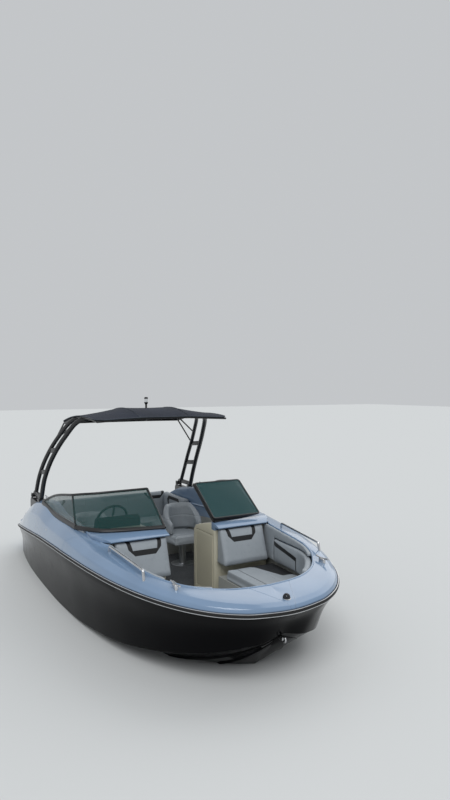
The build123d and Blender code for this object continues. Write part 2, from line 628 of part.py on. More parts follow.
# Swim platform, its mat and the boarding ladder that folds onto it
PLATFORM_AFT_X, PLATFORM_HALF, PLATFORM_Z = -2950, 950, 370
LADDER_PIVOT = (-2965, -460, 390)
with BuildPart() as swim_platform:
    with BuildSketch(Plane.XY.offset(PLATFORM_Z - 50)) as plan:
        with Locations(((PLATFORM_AFT_X + TRANSOM_X) / 2, 0)):
            Rectangle(TRANSOM_X - PLATFORM_AFT_X, 2 * PLATFORM_HALF)
        fillet(plan.vertices().group_by(Axis.X)[0], 160)
    extrude(amount=50)
    for low_y in (450, -850):
        side_profile([(TRANSOM_X, 60), (TRANSOM_X, 330), (-2850, 330), (-2800, 280)], low_y, low_y + 400)
    for low_y in (-640, -300):
        with Locations((-2962, low_y, 370)):
            Box(44, 20, 60)
    with Locations(Plane(origin=LADDER_PIVOT, z_dir=(0, 1, 0))):
        Cylinder(6, 350)
with BuildPart() as platform_mat:
    with BuildSketch(Plane.XY.offset(PLATFORM_Z)) as plan:
        with Locations((-2700, 0)):
            Rectangle(440, 1820)
        fillet(plan.vertices().group_by(Axis.X)[0], 130)
        with Locations((-2760, -470)):
            Rectangle(400, 360, mode=Mode.SUBTRACT)
    extrude(amount=6)
with BuildPart() as boarding_ladder:
    pivot_x, pivot_y, pivot_z = LADDER_PIVOT
    for y in (pivot_y - 130, pivot_y + 130 - 20):
        bars([(pivot_x, y, pivot_z), (pivot_x + 430, y, pivot_z)], 11)
    for step in (160, 290, 415):
        bars([(pivot_x + step, pivot_y - 130, pivot_z), (pivot_x + step, pivot_y + 110, pivot_z)], 9)
    with Locations(Plane(origin=LADDER_PIVOT, z_dir=(0, 1, 0))):
        Cylinder(13, 290)
        Cylinder(6.05, 300, mode=Mode.SUBTRACT)

# Jet pump at the transom
JET_Z = -200
NOZZLE_X = -2725
with BuildPart() as jet_housing:
    with BuildSketch(Plane.XZ) as section:
        with BuildLine():
            Polyline((TRANSOM_X, JET_Z), (TRANSOM_X, JET_Z + 120), (-2470, JET_Z + 120),
                     (-2490, JET_Z + 105), (-2700, JET_Z + 98), (-2700, JET_Z + 85), (-2540, JET_Z + 85),
                     (-2540, JET_Z), close=True)
        make_face()
    revolve(axis=Axis((0, 0, JET_Z), (1, 0, 0)))
    for sign in (1, -1):
        with Locations((-2662, sign * 108, JET_Z)):
            Box(205, 26, 50)
        with Locations(Plane(origin=(-2740, sign * 112, JET_Z), z_dir=(0, sign, 0))):
            Cylinder(8, 44, align=(Align.CENTER, Align.CENTER, Align.MIN))
    for sign in (1, -1):
        with Locations((-2690, 0, JET_Z + sign * 101)):
            Box(120, 44, 14)
        with Locations((NOZZLE_X, 0, JET_Z + sign * 88)):
            Cylinder(8, 26)
with BuildPart() as impeller:
    with Locations(Plane(origin=(-2541, 0, JET_Z), z_dir=(-1, 0, 0))):
        Cylinder(16, 100, align=(Align.CENTER, Align.CENTER, Align.MIN))
        with Locations((0, 0, 30)):
            Cylinder(32, 60, align=(Align.CENTER, Align.CENTER, Align.MIN))
    for angle in range(0, 360, 90):
        with Locations(Plane(origin=(-2601, 0, JET_Z), x_dir=(0, cos(radians(angle)), sin(radians(angle))),
                             z_dir=(-1, 0, 0)).rotated((35, 0, 0))):
            with Locations((50, 0, 0)):
                Box(48, 60, 6)
with BuildPart() as steering_nozzle:
    with BuildSketch(Plane.XZ) as section:
        with BuildLine():
            Polyline((-2712, JET_Z + 78), (-2712, JET_Z + 68), (-2850, JET_Z + 55), (-2850, JET_Z + 64),
                     close=True)
        make_face()
    revolve(axis=Axis((0, 0, JET_Z), (1, 0, 0)))
    for sign in (1, -1):
        with Locations((NOZZLE_X, 0, JET_Z + sign * 81)):
            Cylinder(16, 20)
            Cylinder(8.05, 40, mode=Mode.SUBTRACT)
with BuildPart() as reverse_bucket:
    with BuildSketch(Plane.XZ.offset(-138)) as shell:
        with BuildLine():
            rim = [(-2740 - r * cos(radians(a)), JET_Z + r * sin(radians(a)))
                   for r, a in ((190, 20), (190, 55), (190, 90), (172, 90), (172, 55), (172, 20))]
            outer = ThreePointArc(*rim[:3])
            inner = ThreePointArc(*rim[3:])
            Line(outer @ 1, inner @ 0)
            Line(inner @ 1, outer @ 0)
        make_face()
    extrude(amount=276)
    for sign in (1, -1):
        low, high = (138, 150) if sign > 0 else (-150, -138)
        side_profile([(-2715, JET_Z - 22), (-2765, JET_Z - 22),
                      (-2740 - 190 * cos(radians(20)), JET_Z + 60),
                      (-2740 - 190 * cos(radians(55)), JET_Z + 150),
                      (-2740, JET_Z + 190), (-2715, JET_Z + 100)], low, high)
        with Locations(Plane(origin=(-2740, sign * 144, JET_Z), z_dir=(0, 1, 0))):
            Cylinder(8.05, 30, mode=Mode.SUBTRACT)

# Small deck and hull fittings, seated on what carries them
with BuildPart() as grab_rails:
    with BuildLine() as route:
        FilletPolyline((1290, 962, 820), (1300, 962, 915), (1990, 912, 868), (2010, 912, 770), radius=25)
    tube(route.wire(), 12, across=(0, 1, 0))
    mirror(about=Plane.XZ)
    add(deck.part, mode=Mode.SUBTRACT)
with BuildPart() as cleats:
    for x, y, base_z in ((2255, 745, 700), (-2180, 985, 470), (-700, 1050, 960)):
        for sign in (1, -1):
            with Locations((x, sign * y, base_z)):
                Box(90, 36, 100, align=(Align.CENTER, Align.CENTER, Align.MIN))
            with Locations((x, sign * y, base_z + 105)):
                Box(170, 20, 14)
    add(deck.part, mode=Mode.SUBTRACT)
with BuildPart() as tow_eyes:
    for x, y, z, width in ((2700, 0, 365, 130), (-2490, 920, 120, 90), (-2490, -920, 120, 90)):
        with Locations((x, y, z)):
            Cylinder(28, 12, rotation=(90, 0, 0))
        with Locations((x - width / 2 * (1 if x > 0 else -1), y, z)):
            Box(width, 12, 36)
        with Locations((x, y, z)):
            Cylinder(14, 12, rotation=(90, 0, 0), mode=Mode.SUBTRACT)
    add(hull.part, mode=Mode.SUBTRACT)
with BuildPart() as bow_light:
    with Locations((2735, 0, 680)):
        Cylinder(34, 68, align=(Align.CENTER, Align.CENTER, Align.MIN))
    chamfer(bow_light.edges().group_by(Axis.Z)[-1], 10)
    add(deck.part, mode=Mode.SUBTRACT)
with BuildPart() as intake_grate:
    for step in range(-3, 4):
        y = step * 23
        with Locations(((INTAKE_AFT_X + INTAKE_FORE_X) / 2, y, -364 + 0.34 * abs(y))):
            Box(INTAKE_FORE_X - INTAKE_AFT_X, 9, 18)

# Every piece with its name
PIECES = {
    "hull": hull, "deck": deck, "rub_rail": rub_rail, "liner": liner, "floor_mat": floor_mat,
    "engine": engine, "engine_hatch": engine_hatch, "sun_pad": sun_pad, "bow_cushions": bow_cushions,
    "bow_backrests": bow_backrests, "bow_bolsters": bow_bolsters,
    "console_port": console_port, "console_starboard": console_starboard, "console_door": console_door,
    "glovebox_lid": glovebox_lid, "cowls": cowls,
    "dash_pod": dash_pod, "steering_wheel": steering_wheel, "throttle": throttle,
    "helm_seat": seat["helm"], "companion_seat": seat["companion"], "seat_pedestals": seat_pedestals,
    "bench_base": bench_base, "bench_cushions": bench_cushions, "bench_backrest": bench_backrest,
    "bench_bolsters": bench_bolsters, "windscreen_frame": windscreen_frame,
    "windscreen_glass": windscreen_glass, "gate_frame": gate_frame,
    "gate_glass": gate_glass, "tower": tower, "tower_feet": tower_feet, "canopy_frame": canopy_frame,
    "canopy": canopy, "nav_light": nav_light, "swim_platform": swim_platform, "platform_mat": platform_mat,
    "boarding_ladder": boarding_ladder, "jet_housing": jet_housing, "impeller": impeller,
    "steering_nozzle": steering_nozzle, "reverse_bucket": reverse_bucket, "grab_rails": grab_rails,
    "cleats": cleats, "tow_eyes": tow_eyes, "bow_light": bow_light, "intake_grate": intake_grate,
}
for name, piece in PIECES.items():
    piece.part.label = name
    export_step(piece.part, f"parts/{name}.step")
print(len(PIECES), "pieces")
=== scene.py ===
"""Looks of an open bow sports boat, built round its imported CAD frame.

Metres. +X points to the bow, +Y to port, +Z up, and z 0 is the waterline.
"""

import json
import logging
import math
from dataclasses import dataclass
from enum import Enum
from functools import lru_cache
from typing import Callable, Iterable, Optional, Sequence, Union

import bmesh
import bpy
from mathutils import Matrix, Vector
from mathutils.bvhtree import BVHTree

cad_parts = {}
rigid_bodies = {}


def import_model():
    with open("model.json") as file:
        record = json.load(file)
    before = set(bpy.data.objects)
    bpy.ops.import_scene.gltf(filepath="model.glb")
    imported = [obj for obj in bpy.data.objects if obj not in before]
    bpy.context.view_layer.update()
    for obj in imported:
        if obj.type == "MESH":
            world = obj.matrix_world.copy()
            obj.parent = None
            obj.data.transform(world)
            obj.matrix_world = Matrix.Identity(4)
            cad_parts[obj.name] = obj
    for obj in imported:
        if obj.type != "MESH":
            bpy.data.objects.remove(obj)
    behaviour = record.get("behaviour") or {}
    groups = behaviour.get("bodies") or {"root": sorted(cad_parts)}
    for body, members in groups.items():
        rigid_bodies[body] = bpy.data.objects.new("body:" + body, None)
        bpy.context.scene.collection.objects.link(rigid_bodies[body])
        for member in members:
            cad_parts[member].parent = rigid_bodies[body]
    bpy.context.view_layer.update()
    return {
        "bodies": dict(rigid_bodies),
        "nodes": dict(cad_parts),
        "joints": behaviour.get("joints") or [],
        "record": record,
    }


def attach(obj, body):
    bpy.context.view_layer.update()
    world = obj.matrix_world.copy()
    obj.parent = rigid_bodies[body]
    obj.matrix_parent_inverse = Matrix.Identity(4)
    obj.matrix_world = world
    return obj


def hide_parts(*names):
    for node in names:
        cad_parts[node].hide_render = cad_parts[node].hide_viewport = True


Point = Sequence[float]
Colour = tuple[float, float, float, float]
Number = Union[float, "Value"]
Piece = bpy.types.Object
Material = bpy.types.Material
log = logging.getLogger("boat")


def srgb(red: int, green: int, blue: int) -> Colour:
    """Linear colour of three values from 0 to 255."""
    parts = [c / 255 for c in (red, green, blue)]
    return (*(p / 12.92 if p <= 0.04045 else ((p + 0.055) / 1.055) ** 2.4 for p in parts), 1.0)


def shade(colour: Colour, factor: float) -> Colour:
    """A colour made darker or lighter by a factor."""
    return (*(min(1.0, c * factor) for c in colour[:3]), 1.0)


# Shading


def operator(operation: str, reflected: bool = False) -> Callable[..., "Value"]:
    """Method that joins a value to the other operands by a math node.

    Args:
        operation: the node's operation.
        reflected: the value comes last.

    Returns:
        The method.
    """

    def method(value: "Value", *others: Number) -> "Value":
        """Result of the node."""
        operands = (*others, value) if reflected else (value, *others)
        return value.shader.math(operation, *operands)

    return method


class Value:
    """A shader socket that takes part in Python expressions."""

    def __init__(self, shader: "Shader", socket: bpy.types.NodeSocket) -> None:
        """Wrap one socket of a shader."""
        self.shader, self.socket = shader, socket

    __add__ = __radd__ = operator("ADD")
    __mul__ = __rmul__ = operator("MULTIPLY")
    __sub__, __rsub__ = operator("SUBTRACT"), operator("SUBTRACT", reflected=True)
    __truediv__, __rtruediv__ = operator("DIVIDE"), operator("DIVIDE", reflected=True)
    __abs__, sine, larger = operator("ABSOLUTE"), operator("SINE"), operator("MAXIMUM")

    def ramp(self, low: float, high: float) -> "Value":
        """Smooth step from 0 at low to 1 at high."""
        span = {"Value": self, "From Min": low, "From Max": high}
        return self.shader.node("ShaderNodeMapRange", {"interpolation_type": "SMOOTHSTEP"}, span)


class Shader:
    """One material and the few node calls that its finish needs."""

    def __init__(self, name: str) -> None:
        """Start an empty material with a Principled surface."""
        self.material = bpy.data.materials.new(name)
        self.material.use_nodes = True
        self.tree = self.material.node_tree
        self.tree.nodes.clear()
        output = self.tree.nodes.new("ShaderNodeOutputMaterial")
        self.surface = self.tree.nodes.new("ShaderNodeBsdfPrincipled")
        self.tree.links.new(self.surface.outputs[0], output.inputs[0])

    def feed(self, socket: bpy.types.NodeSocket, value: object) -> None:
        """Link a Value to a socket, or set its number or colour."""
        if isinstance(value, Value):
            self.tree.links.new(value.socket, socket)
        else:
            socket.default_value = value

    def node(self, kind: str, settings: dict, inputs: dict, output: Union[int, str] = 0) -> Value:
        """Add any node.

        Args:
            kind: the node's type.
            settings: attributes set before its sockets are fed.
            inputs: socket name or number to a value or a link.
            output: name or number of the output wanted.

        Returns:
            That output.
        """
        node = self.tree.nodes.new(kind)
        for name, setting in settings.items():
            setattr(node, name, setting)
        for name, value in inputs.items():
            self.feed(node.inputs[name], value)
        return Value(self, node.outputs[output])

    def math(self, operation: str, *values: Number) -> Value:
        """Math node of one operation on its values."""
        return self.node("ShaderNodeMath", {"operation": operation}, dict(enumerate(values)))

    def mix(self, factor: Number, first: object, second: object, blend: str = "MIX") -> Value:
        """Colour from first at factor 0 to second at factor 1."""
        settings = {"data_type": "RGBA", "blend_type": blend}
        return self.node("ShaderNodeMix", settings, {0: factor, 6: first, 7: second}, 2)

    def place(self) -> Value:
        """Object coordinates."""
        return self.node("ShaderNodeTexCoord", {}, {}, "Object")

    def axes(self) -> tuple[Value, Value, Value]:
        """The three object coordinates apart."""
        split = self.node("ShaderNodeSeparateXYZ", {}, {0: self.place()})
        outputs = split.socket.node.outputs
        return Value(self, outputs[0]), Value(self, outputs[1]), Value(self, outputs[2])

    def noise(self, scale: float, detail: float = 3.0, roughness: float = 0.5) -> Value:
        """Cloudy noise over the object, with scale cells to the metre."""
        inputs = {"Vector": self.place(), "Scale": scale, "Detail": detail, "Roughness": roughness}
        return self.node("ShaderNodeTexNoise", {}, inputs, "Fac")

    def cells(self, scale: float) -> Value:
        """Distance to the nearest of scattered points, scale of them to the metre."""
        inputs = {"Vector": self.place(), "Scale": scale}
        return self.node("ShaderNodeTexVoronoi", {}, inputs, "Distance")

    def bump(self, height: Value, distance: float, strength: float = 1.0) -> Value:
        """Normal bent by a height of that many metres."""
        return self.node("ShaderNodeBump", {}, {"Strength": strength, "Distance": distance, "Height": height})

    def dress(self, constants: Optional[dict] = None, **varying: object) -> Material:
        """Feed the Principled surface and return the material.

        Args:
            constants: sockets that are the same all over the surface.
            varying: base, roughness, metallic, alpha and normal, as values or links.

        Returns:
            The finished material.
        """
        names = {"base": "Base Color", "roughness": "Roughness", "metallic": "Metallic", "alpha": "Alpha",
                 "normal": "Normal"}
        for name, value in varying.items():
            self.feed(self.surface.inputs[names[name]], value)
        for name, value in (constants or {}).items():
            self.surface.inputs[name].default_value = value
        return self.material


@dataclass(frozen=True)
class Surface:
    """A finish: the name and the colour of its material, which is made once."""

    name: str
    colour: Colour

    @lru_cache(maxsize=None)
    def material(self) -> Material:
        """The material."""
        return self.paint(Shader(self.name))

    def tones(self, s: Shader, factor: Number, first: float, second: float) -> Value:
        """Colour between two shades of the finish."""
        return s.mix(factor, shade(self.colour, first), shade(self.colour, second))


@dataclass(frozen=True)
class Gelcoat(Surface):
    """Sprayed and polished gelcoat: faint clouds of pigment, orange peel and a clear gloss."""

    roughness: float = 0.16
    coat: float = 0.5
    clouds: float = 0.10
    gloss: float = 0.5
    relief: Optional[Callable[["Shader"], Value]] = None

    def paint(self, s: Shader) -> Material:
        """Build the material."""
        clouds = s.noise(1.7, 3).ramp(0.35, 0.68)
        smears = s.noise(9.0, 4, 0.6).ramp(0.45, 0.75)
        base = self.tones(s, clouds, 1 - self.clouds, 1 + self.clouds)
        height = s.noise(160.0, 2) * 0.00008
        if self.relief:
            height = height + self.relief(s)
        return s.dress({"Coat Weight": self.coat, "Coat Roughness": 0.06, "Specular IOR Level": self.gloss},
                       base=base, roughness=smears * 0.07 + self.roughness,
                       normal=s.bump(height, 1.0, 1.0))


@dataclass(frozen=True)
class NonSkid(Surface):
    """Moulded non-skid gelcoat underfoot."""

    def paint(self, s: Shader) -> Material:
        """Build the material."""
        wear = s.noise(5.0, 4, 0.6)
        base = self.tones(s, wear, 0.88, 1.06)
        pips = s.cells(220.0).ramp(0.15, 0.55)
        return s.dress({"Coat Weight": 0.1, "Coat Roughness": 0.2},
                       base=base, roughness=wear * 0.15 + 0.36, normal=s.bump(pips, 0.0006, 0.6))


@dataclass(frozen=True)
class Vinyl(Surface):
    """Marine vinyl with a leather grain and soft creases, whose hollows are darkened as painted shade, with an
    accent panel where asked.
    """

    accent: Colour = (0.008, 0.008, 0.009, 1.0)
    panel: Optional[Callable[["Shader"], Value]] = None

    def paint(self, s: Shader) -> Material:
        """Build the material."""
        grain = s.cells(650.0).ramp(0.0, 0.75)
        creases = s.noise(23.0, 4, 0.62)
        fade = s.noise(3.1, 3)
        base = self.tones(s, fade, 0.9, 1.08)
        # painted shade: the colour is darker where the crease noise is low, in the hollows of the crease bump
        base = s.mix(creases.ramp(0.26, 0.50), shade(self.colour, 0.91), base)
        height = grain * 0.00014 + creases * 0.0009
        if self.panel:
            mask = self.panel(s)
            base = s.mix(mask, base, self.accent)
            height = height - mask * 0.0012
        return s.dress({"Coat Weight": 0.06, "Coat Roughness": 0.35, "Specular IOR Level": 0.42},
                       base=base, roughness=creases * 0.14 + 0.40, normal=s.bump(height, 1.0, 0.8))


@dataclass(frozen=True)
class Carpet(Surface):
    """Short dense marine carpet."""

    def paint(self, s: Shader) -> Material:
        """Build the material."""
        pile, patches = s.noise(520.0, 3, 0.7), s.noise(6.0, 3)
        base = self.tones(s, pile, 0.55, 1.5)
        base = s.mix(patches.ramp(0.35, 0.7), base, shade(self.colour, 0.8))
        return s.dress({"Sheen Weight": 0.15, "Specular IOR Level": 0.15},
                       base=base, roughness=pile * 0.1 + 0.85, normal=s.bump(pile, 0.0025, 0.9))


@dataclass(frozen=True)
class Canvas(Surface):
    """Woven acrylic canvas, faded a little along its folds."""

    def paint(self, s: Shader) -> Material:
        """Build the material."""
        x, y, _ = s.axes()
        weave = (x * 3600.0).sine() * (y * 3600.0).sine()
        slubs, fade = s.noise(240.0, 2), s.noise(4.0, 4, 0.6)
        base = self.tones(s, fade.ramp(0.3, 0.75), 0.8, 1.35)
        base = s.mix(slubs * 0.4, base, shade(self.colour, 1.7))
        height = weave * 0.00018 + slubs * 0.0002 + s.noise(11.0, 3) * 0.004
        return s.dress({"Sheen Weight": 0.06, "Sheen Roughness": 0.5, "Specular IOR Level": 0.18},
                       base=base, roughness=fade * 0.1 + 0.76, normal=s.bump(height, 1.0, 0.7))


@dataclass(frozen=True)
class Metal(Surface):
    """Bare or painted metal."""

    roughness: float
    metallic: float = 1.0
    speckle: float = 0.0
    brushed: float = 0.0

    def paint(self, s: Shader) -> Material:
        """Build the material."""
        smears = s.noise(7.0, 4, 0.6)
        fine = s.noise(900.0, 2)
        base = self.tones(s, smears.ramp(0.3, 0.7), 0.9, 1.08)
        height = fine * self.speckle + s.noise(60.0, 2) * self.brushed
        return s.dress({"Coat Weight": 0.0 if self.metallic > 0.5 else 0.2, "Coat Roughness": 0.25},
                       base=base, metallic=self.metallic, roughness=smears * 0.12 + self.roughness,
                       normal=s.bump(height, 1.0, 0.6))


@dataclass(frozen=True)
class Plastic(Surface):
    """Moulded plastic or rubber with a fine grain."""

    roughness: float = 0.45
    grain: float = 0.00025

    def paint(self, s: Shader) -> Material:
        """Build the material."""
        dust, pips = s.noise(8.0, 4, 0.6), s.cells(700.0).ramp(0.1, 0.7)
        base = s.mix(dust.ramp(0.4, 0.8), self.colour, shade(self.colour, 1.5))
        return s.dress({"Specular IOR Level": 0.4}, base=base, roughness=dust * 0.15 + self.roughness,
                       normal=s.bump(pips, self.grain, 0.8))


@dataclass(frozen=True)
class Glass(Surface):
    """Tinted safety glass or a clear lens, with faint water marks."""

    alpha: float = 0.5
    roughness: float = 0.06
    gloss: float = 0.35

    def paint(self, s: Shader) -> Material:
        """Build the material."""
        marks = s.noise(34.0, 5, 0.7).ramp(0.56, 0.78)
        base = s.mix(marks * 0.15, self.colour, shade(self.colour, 1.6))
        shine = {"Coat Weight": self.gloss * 0.3, "Coat Roughness": 0.05, "Specular IOR Level": self.gloss}
        return s.dress(shine, base=base, alpha=marks * 0.05 + self.alpha,
                       roughness=marks * 0.03 + self.roughness)


Mask = Callable[[Shader], Value]
EDGE = 0.0015


def within(*distances: Value) -> Value:
    """1 where every distance is below 0, and 0 elsewhere."""
    outside = distances[0]
    for distance in distances[1:]:
        outside = outside.larger(distance)
    return 1.0 - outside.ramp(-EDGE, EDGE)


def accent_band(middle: float, foot: float, half: float, slant: float, bars: tuple[float, float],
                across: int = 1) -> Mask:
    """Mask of a U of black vinyl on a backrest, open at the top, with cut lower corners.

    Args:
        middle: its middle, from the centreline or along the boat.
        foot: height of its lower edge.
        half: half its width at the foot.
        slant: how much each arm leans out for its height.
        bars: width of its arms and of its foot.
        across: 1 where it runs across the boat, 0 where it runs along.

    Returns:
        A function that adds the mask to a shader.
    """

    def mask(s: Shader) -> Value:
        """1 on the black band."""
        axes = s.axes()
        aside = abs((abs(axes[1]) if across else axes[0]) - middle)
        up = axes[2] - foot
        arm, base = bars
        outline = within(aside - up * slant - half, up * -1.0, aside - up - (half - base))
        hollow = within(aside - up * slant - (half - arm), base - up)
        return outline * (1.0 - hollow)

    return mask


def foredeck_wedge(s: Shader) -> Value:
    """Height of the raised wedge that runs from the bow well to the bow light."""
    x, y, _ = s.axes()
    edge = abs(y) + x * 0.52 - 1.493
    return (1.0 - edge.ramp(-0.006, 0.006)) * 0.005


def bolster_stripe(s: Shader) -> Value:
    """Mask of the black stripe on a bow bolster, which turns down at its fore end."""
    x, _, z = s.axes()
    fall = z + x * 0.15 - 0.921
    stripe = within(abs(fall) - 0.021, x - 1.772)
    drop = within(abs(x - 1.764) - 0.008, fall)
    return stripe.larger(drop)


def cushion_insert(s: Shader) -> Value:
    """Mask of the black insert of a bow cushion, and its dark sewn line."""
    x, y, _ = s.axes()
    side = abs(y)
    insert = within(0.572 - side, 0.214 + x * 0.27 - side, x - 1.728)
    return insert.larger(within(abs(side - 0.393) - 0.0035))


def hook_band(s: Shader) -> Value:
    """Mask of the black bracket on the port side of the stern bench."""
    x, _, z = s.axes()
    lean = abs(x + 1.205 + (z - 0.70) * 0.35)
    outline = within(lean - 0.215, z - 0.805, 0.600 - z, lean + z - 0.965)
    hollow = within(lean - 0.170, z - 0.762, lean + z - 0.900)
    notch = within(z - 0.655, -1.16 - x)
    return outline * (1.0 - hollow) * (1.0 - notch)


class Finish(Enum):
    """Every finish of the boat."""

    HULL = Gelcoat("black_gelcoat", srgb(5, 5, 7), 0.14, 0.0, 0.15, 0.06)
    # deck colour: partly the gelcoat's own pale blue, partly painted blue skylight, so it is darker and bluer than
    # the gelcoat itself
    DECK = Gelcoat("steel_blue_gelcoat_with_painted_skylight", srgb(114, 138, 166), 0.14, 0.6, 0.05, relief=foredeck_wedge)
    LINER = NonSkid("grey_nonskid", srgb(150, 152, 148))
    CONSOLE = Gelcoat("cream_gelcoat", srgb(196, 192, 172), 0.30, 0.25, 0.05)
    VINYL = Vinyl("grey_vinyl", srgb(150, 157, 163))
    BOW_BACK = Vinyl("bow_back_vinyl", srgb(150, 157, 163),
                     panel=accent_band(0.5525, 0.750, 0.158, 0.20, (0.042, 0.050)))
    BOW_SIDE = Vinyl("bow_side_vinyl", srgb(150, 157, 163), panel=bolster_stripe)
    BOW_SEAT = Vinyl("bow_seat_vinyl", srgb(150, 157, 163), panel=cushion_insert)
    STERN_BACK = Vinyl("stern_back_vinyl", srgb(150, 157, 163),
                       panel=accent_band(0.735, 0.735, 0.130, 0.30, (0.038, 0.046)))
    STERN_SIDE = Vinyl("stern_side_vinyl", srgb(150, 157, 163), panel=hook_band)
    BLACK_VINYL = Vinyl("black_vinyl", srgb(22, 22, 24))
    CARPET = Carpet("charcoal_carpet", srgb(52, 56, 60))
    CANVAS = Canvas("navy_canvas", srgb(21, 28, 42))
    HEM = Canvas("hem_binding", srgb(58, 63, 70))
    POWDER = Metal("black_powder_coat", srgb(16, 16, 18), 0.34, 0.0, 0.00012)
    STEEL = Metal("polished_stainless", srgb(205, 206, 208), 0.12, 1.0, 0.0, 0.00008)
    ALLOY = Metal("anodised_alloy", srgb(176, 179, 182), 0.30, 1.0, 0.00004)
    CAST = Metal("painted_casting", srgb(72, 75, 80), 0.42, 0.35, 0.00035)
    ENGINE = Metal("engine_paint", srgb(40, 42, 45), 0.5, 0.2, 0.0004)
    PLASTIC = Plastic("black_plastic", srgb(20, 20, 22))
    RUBBER = Plastic("rail_rubber", srgb(14, 14, 15), 0.5, 0.0002)
    # glass colour: partly the glass's own green tint, partly painted shade, darkened to stand for the shaded
    # interior seen through it
    GLASS = Glass("green_glass_with_painted_shade", srgb(26, 68, 67), 0.42)
    # gate glass: the same teal tint made near opaque, partly the glass's own tint, partly a painted reflection of
    # dark teal
    GATE_GLASS_WITH_PAINTED_REFLECTION = Glass("gate_glass_tint_with_painted_reflection", srgb(28, 68, 70), 0.76, roughness=0.5, gloss=0.2)
    LENS = Glass("clear_lens", srgb(225, 230, 232), 0.6, 0.05)
    DARK_LENS = Glass("dark_lens", srgb(26, 30, 34), 0.92, 0.08)
    DIAL = Plastic("dial_face", srgb(12, 12, 14), 0.35, 0.00005)
    TICKS = Plastic("dial_marks", srgb(210, 212, 210), 0.5, 0.00005)


# Shaping


def once(items: Iterable) -> list:
    """The items in their order, each one once."""
    return list(dict.fromkeys(items))


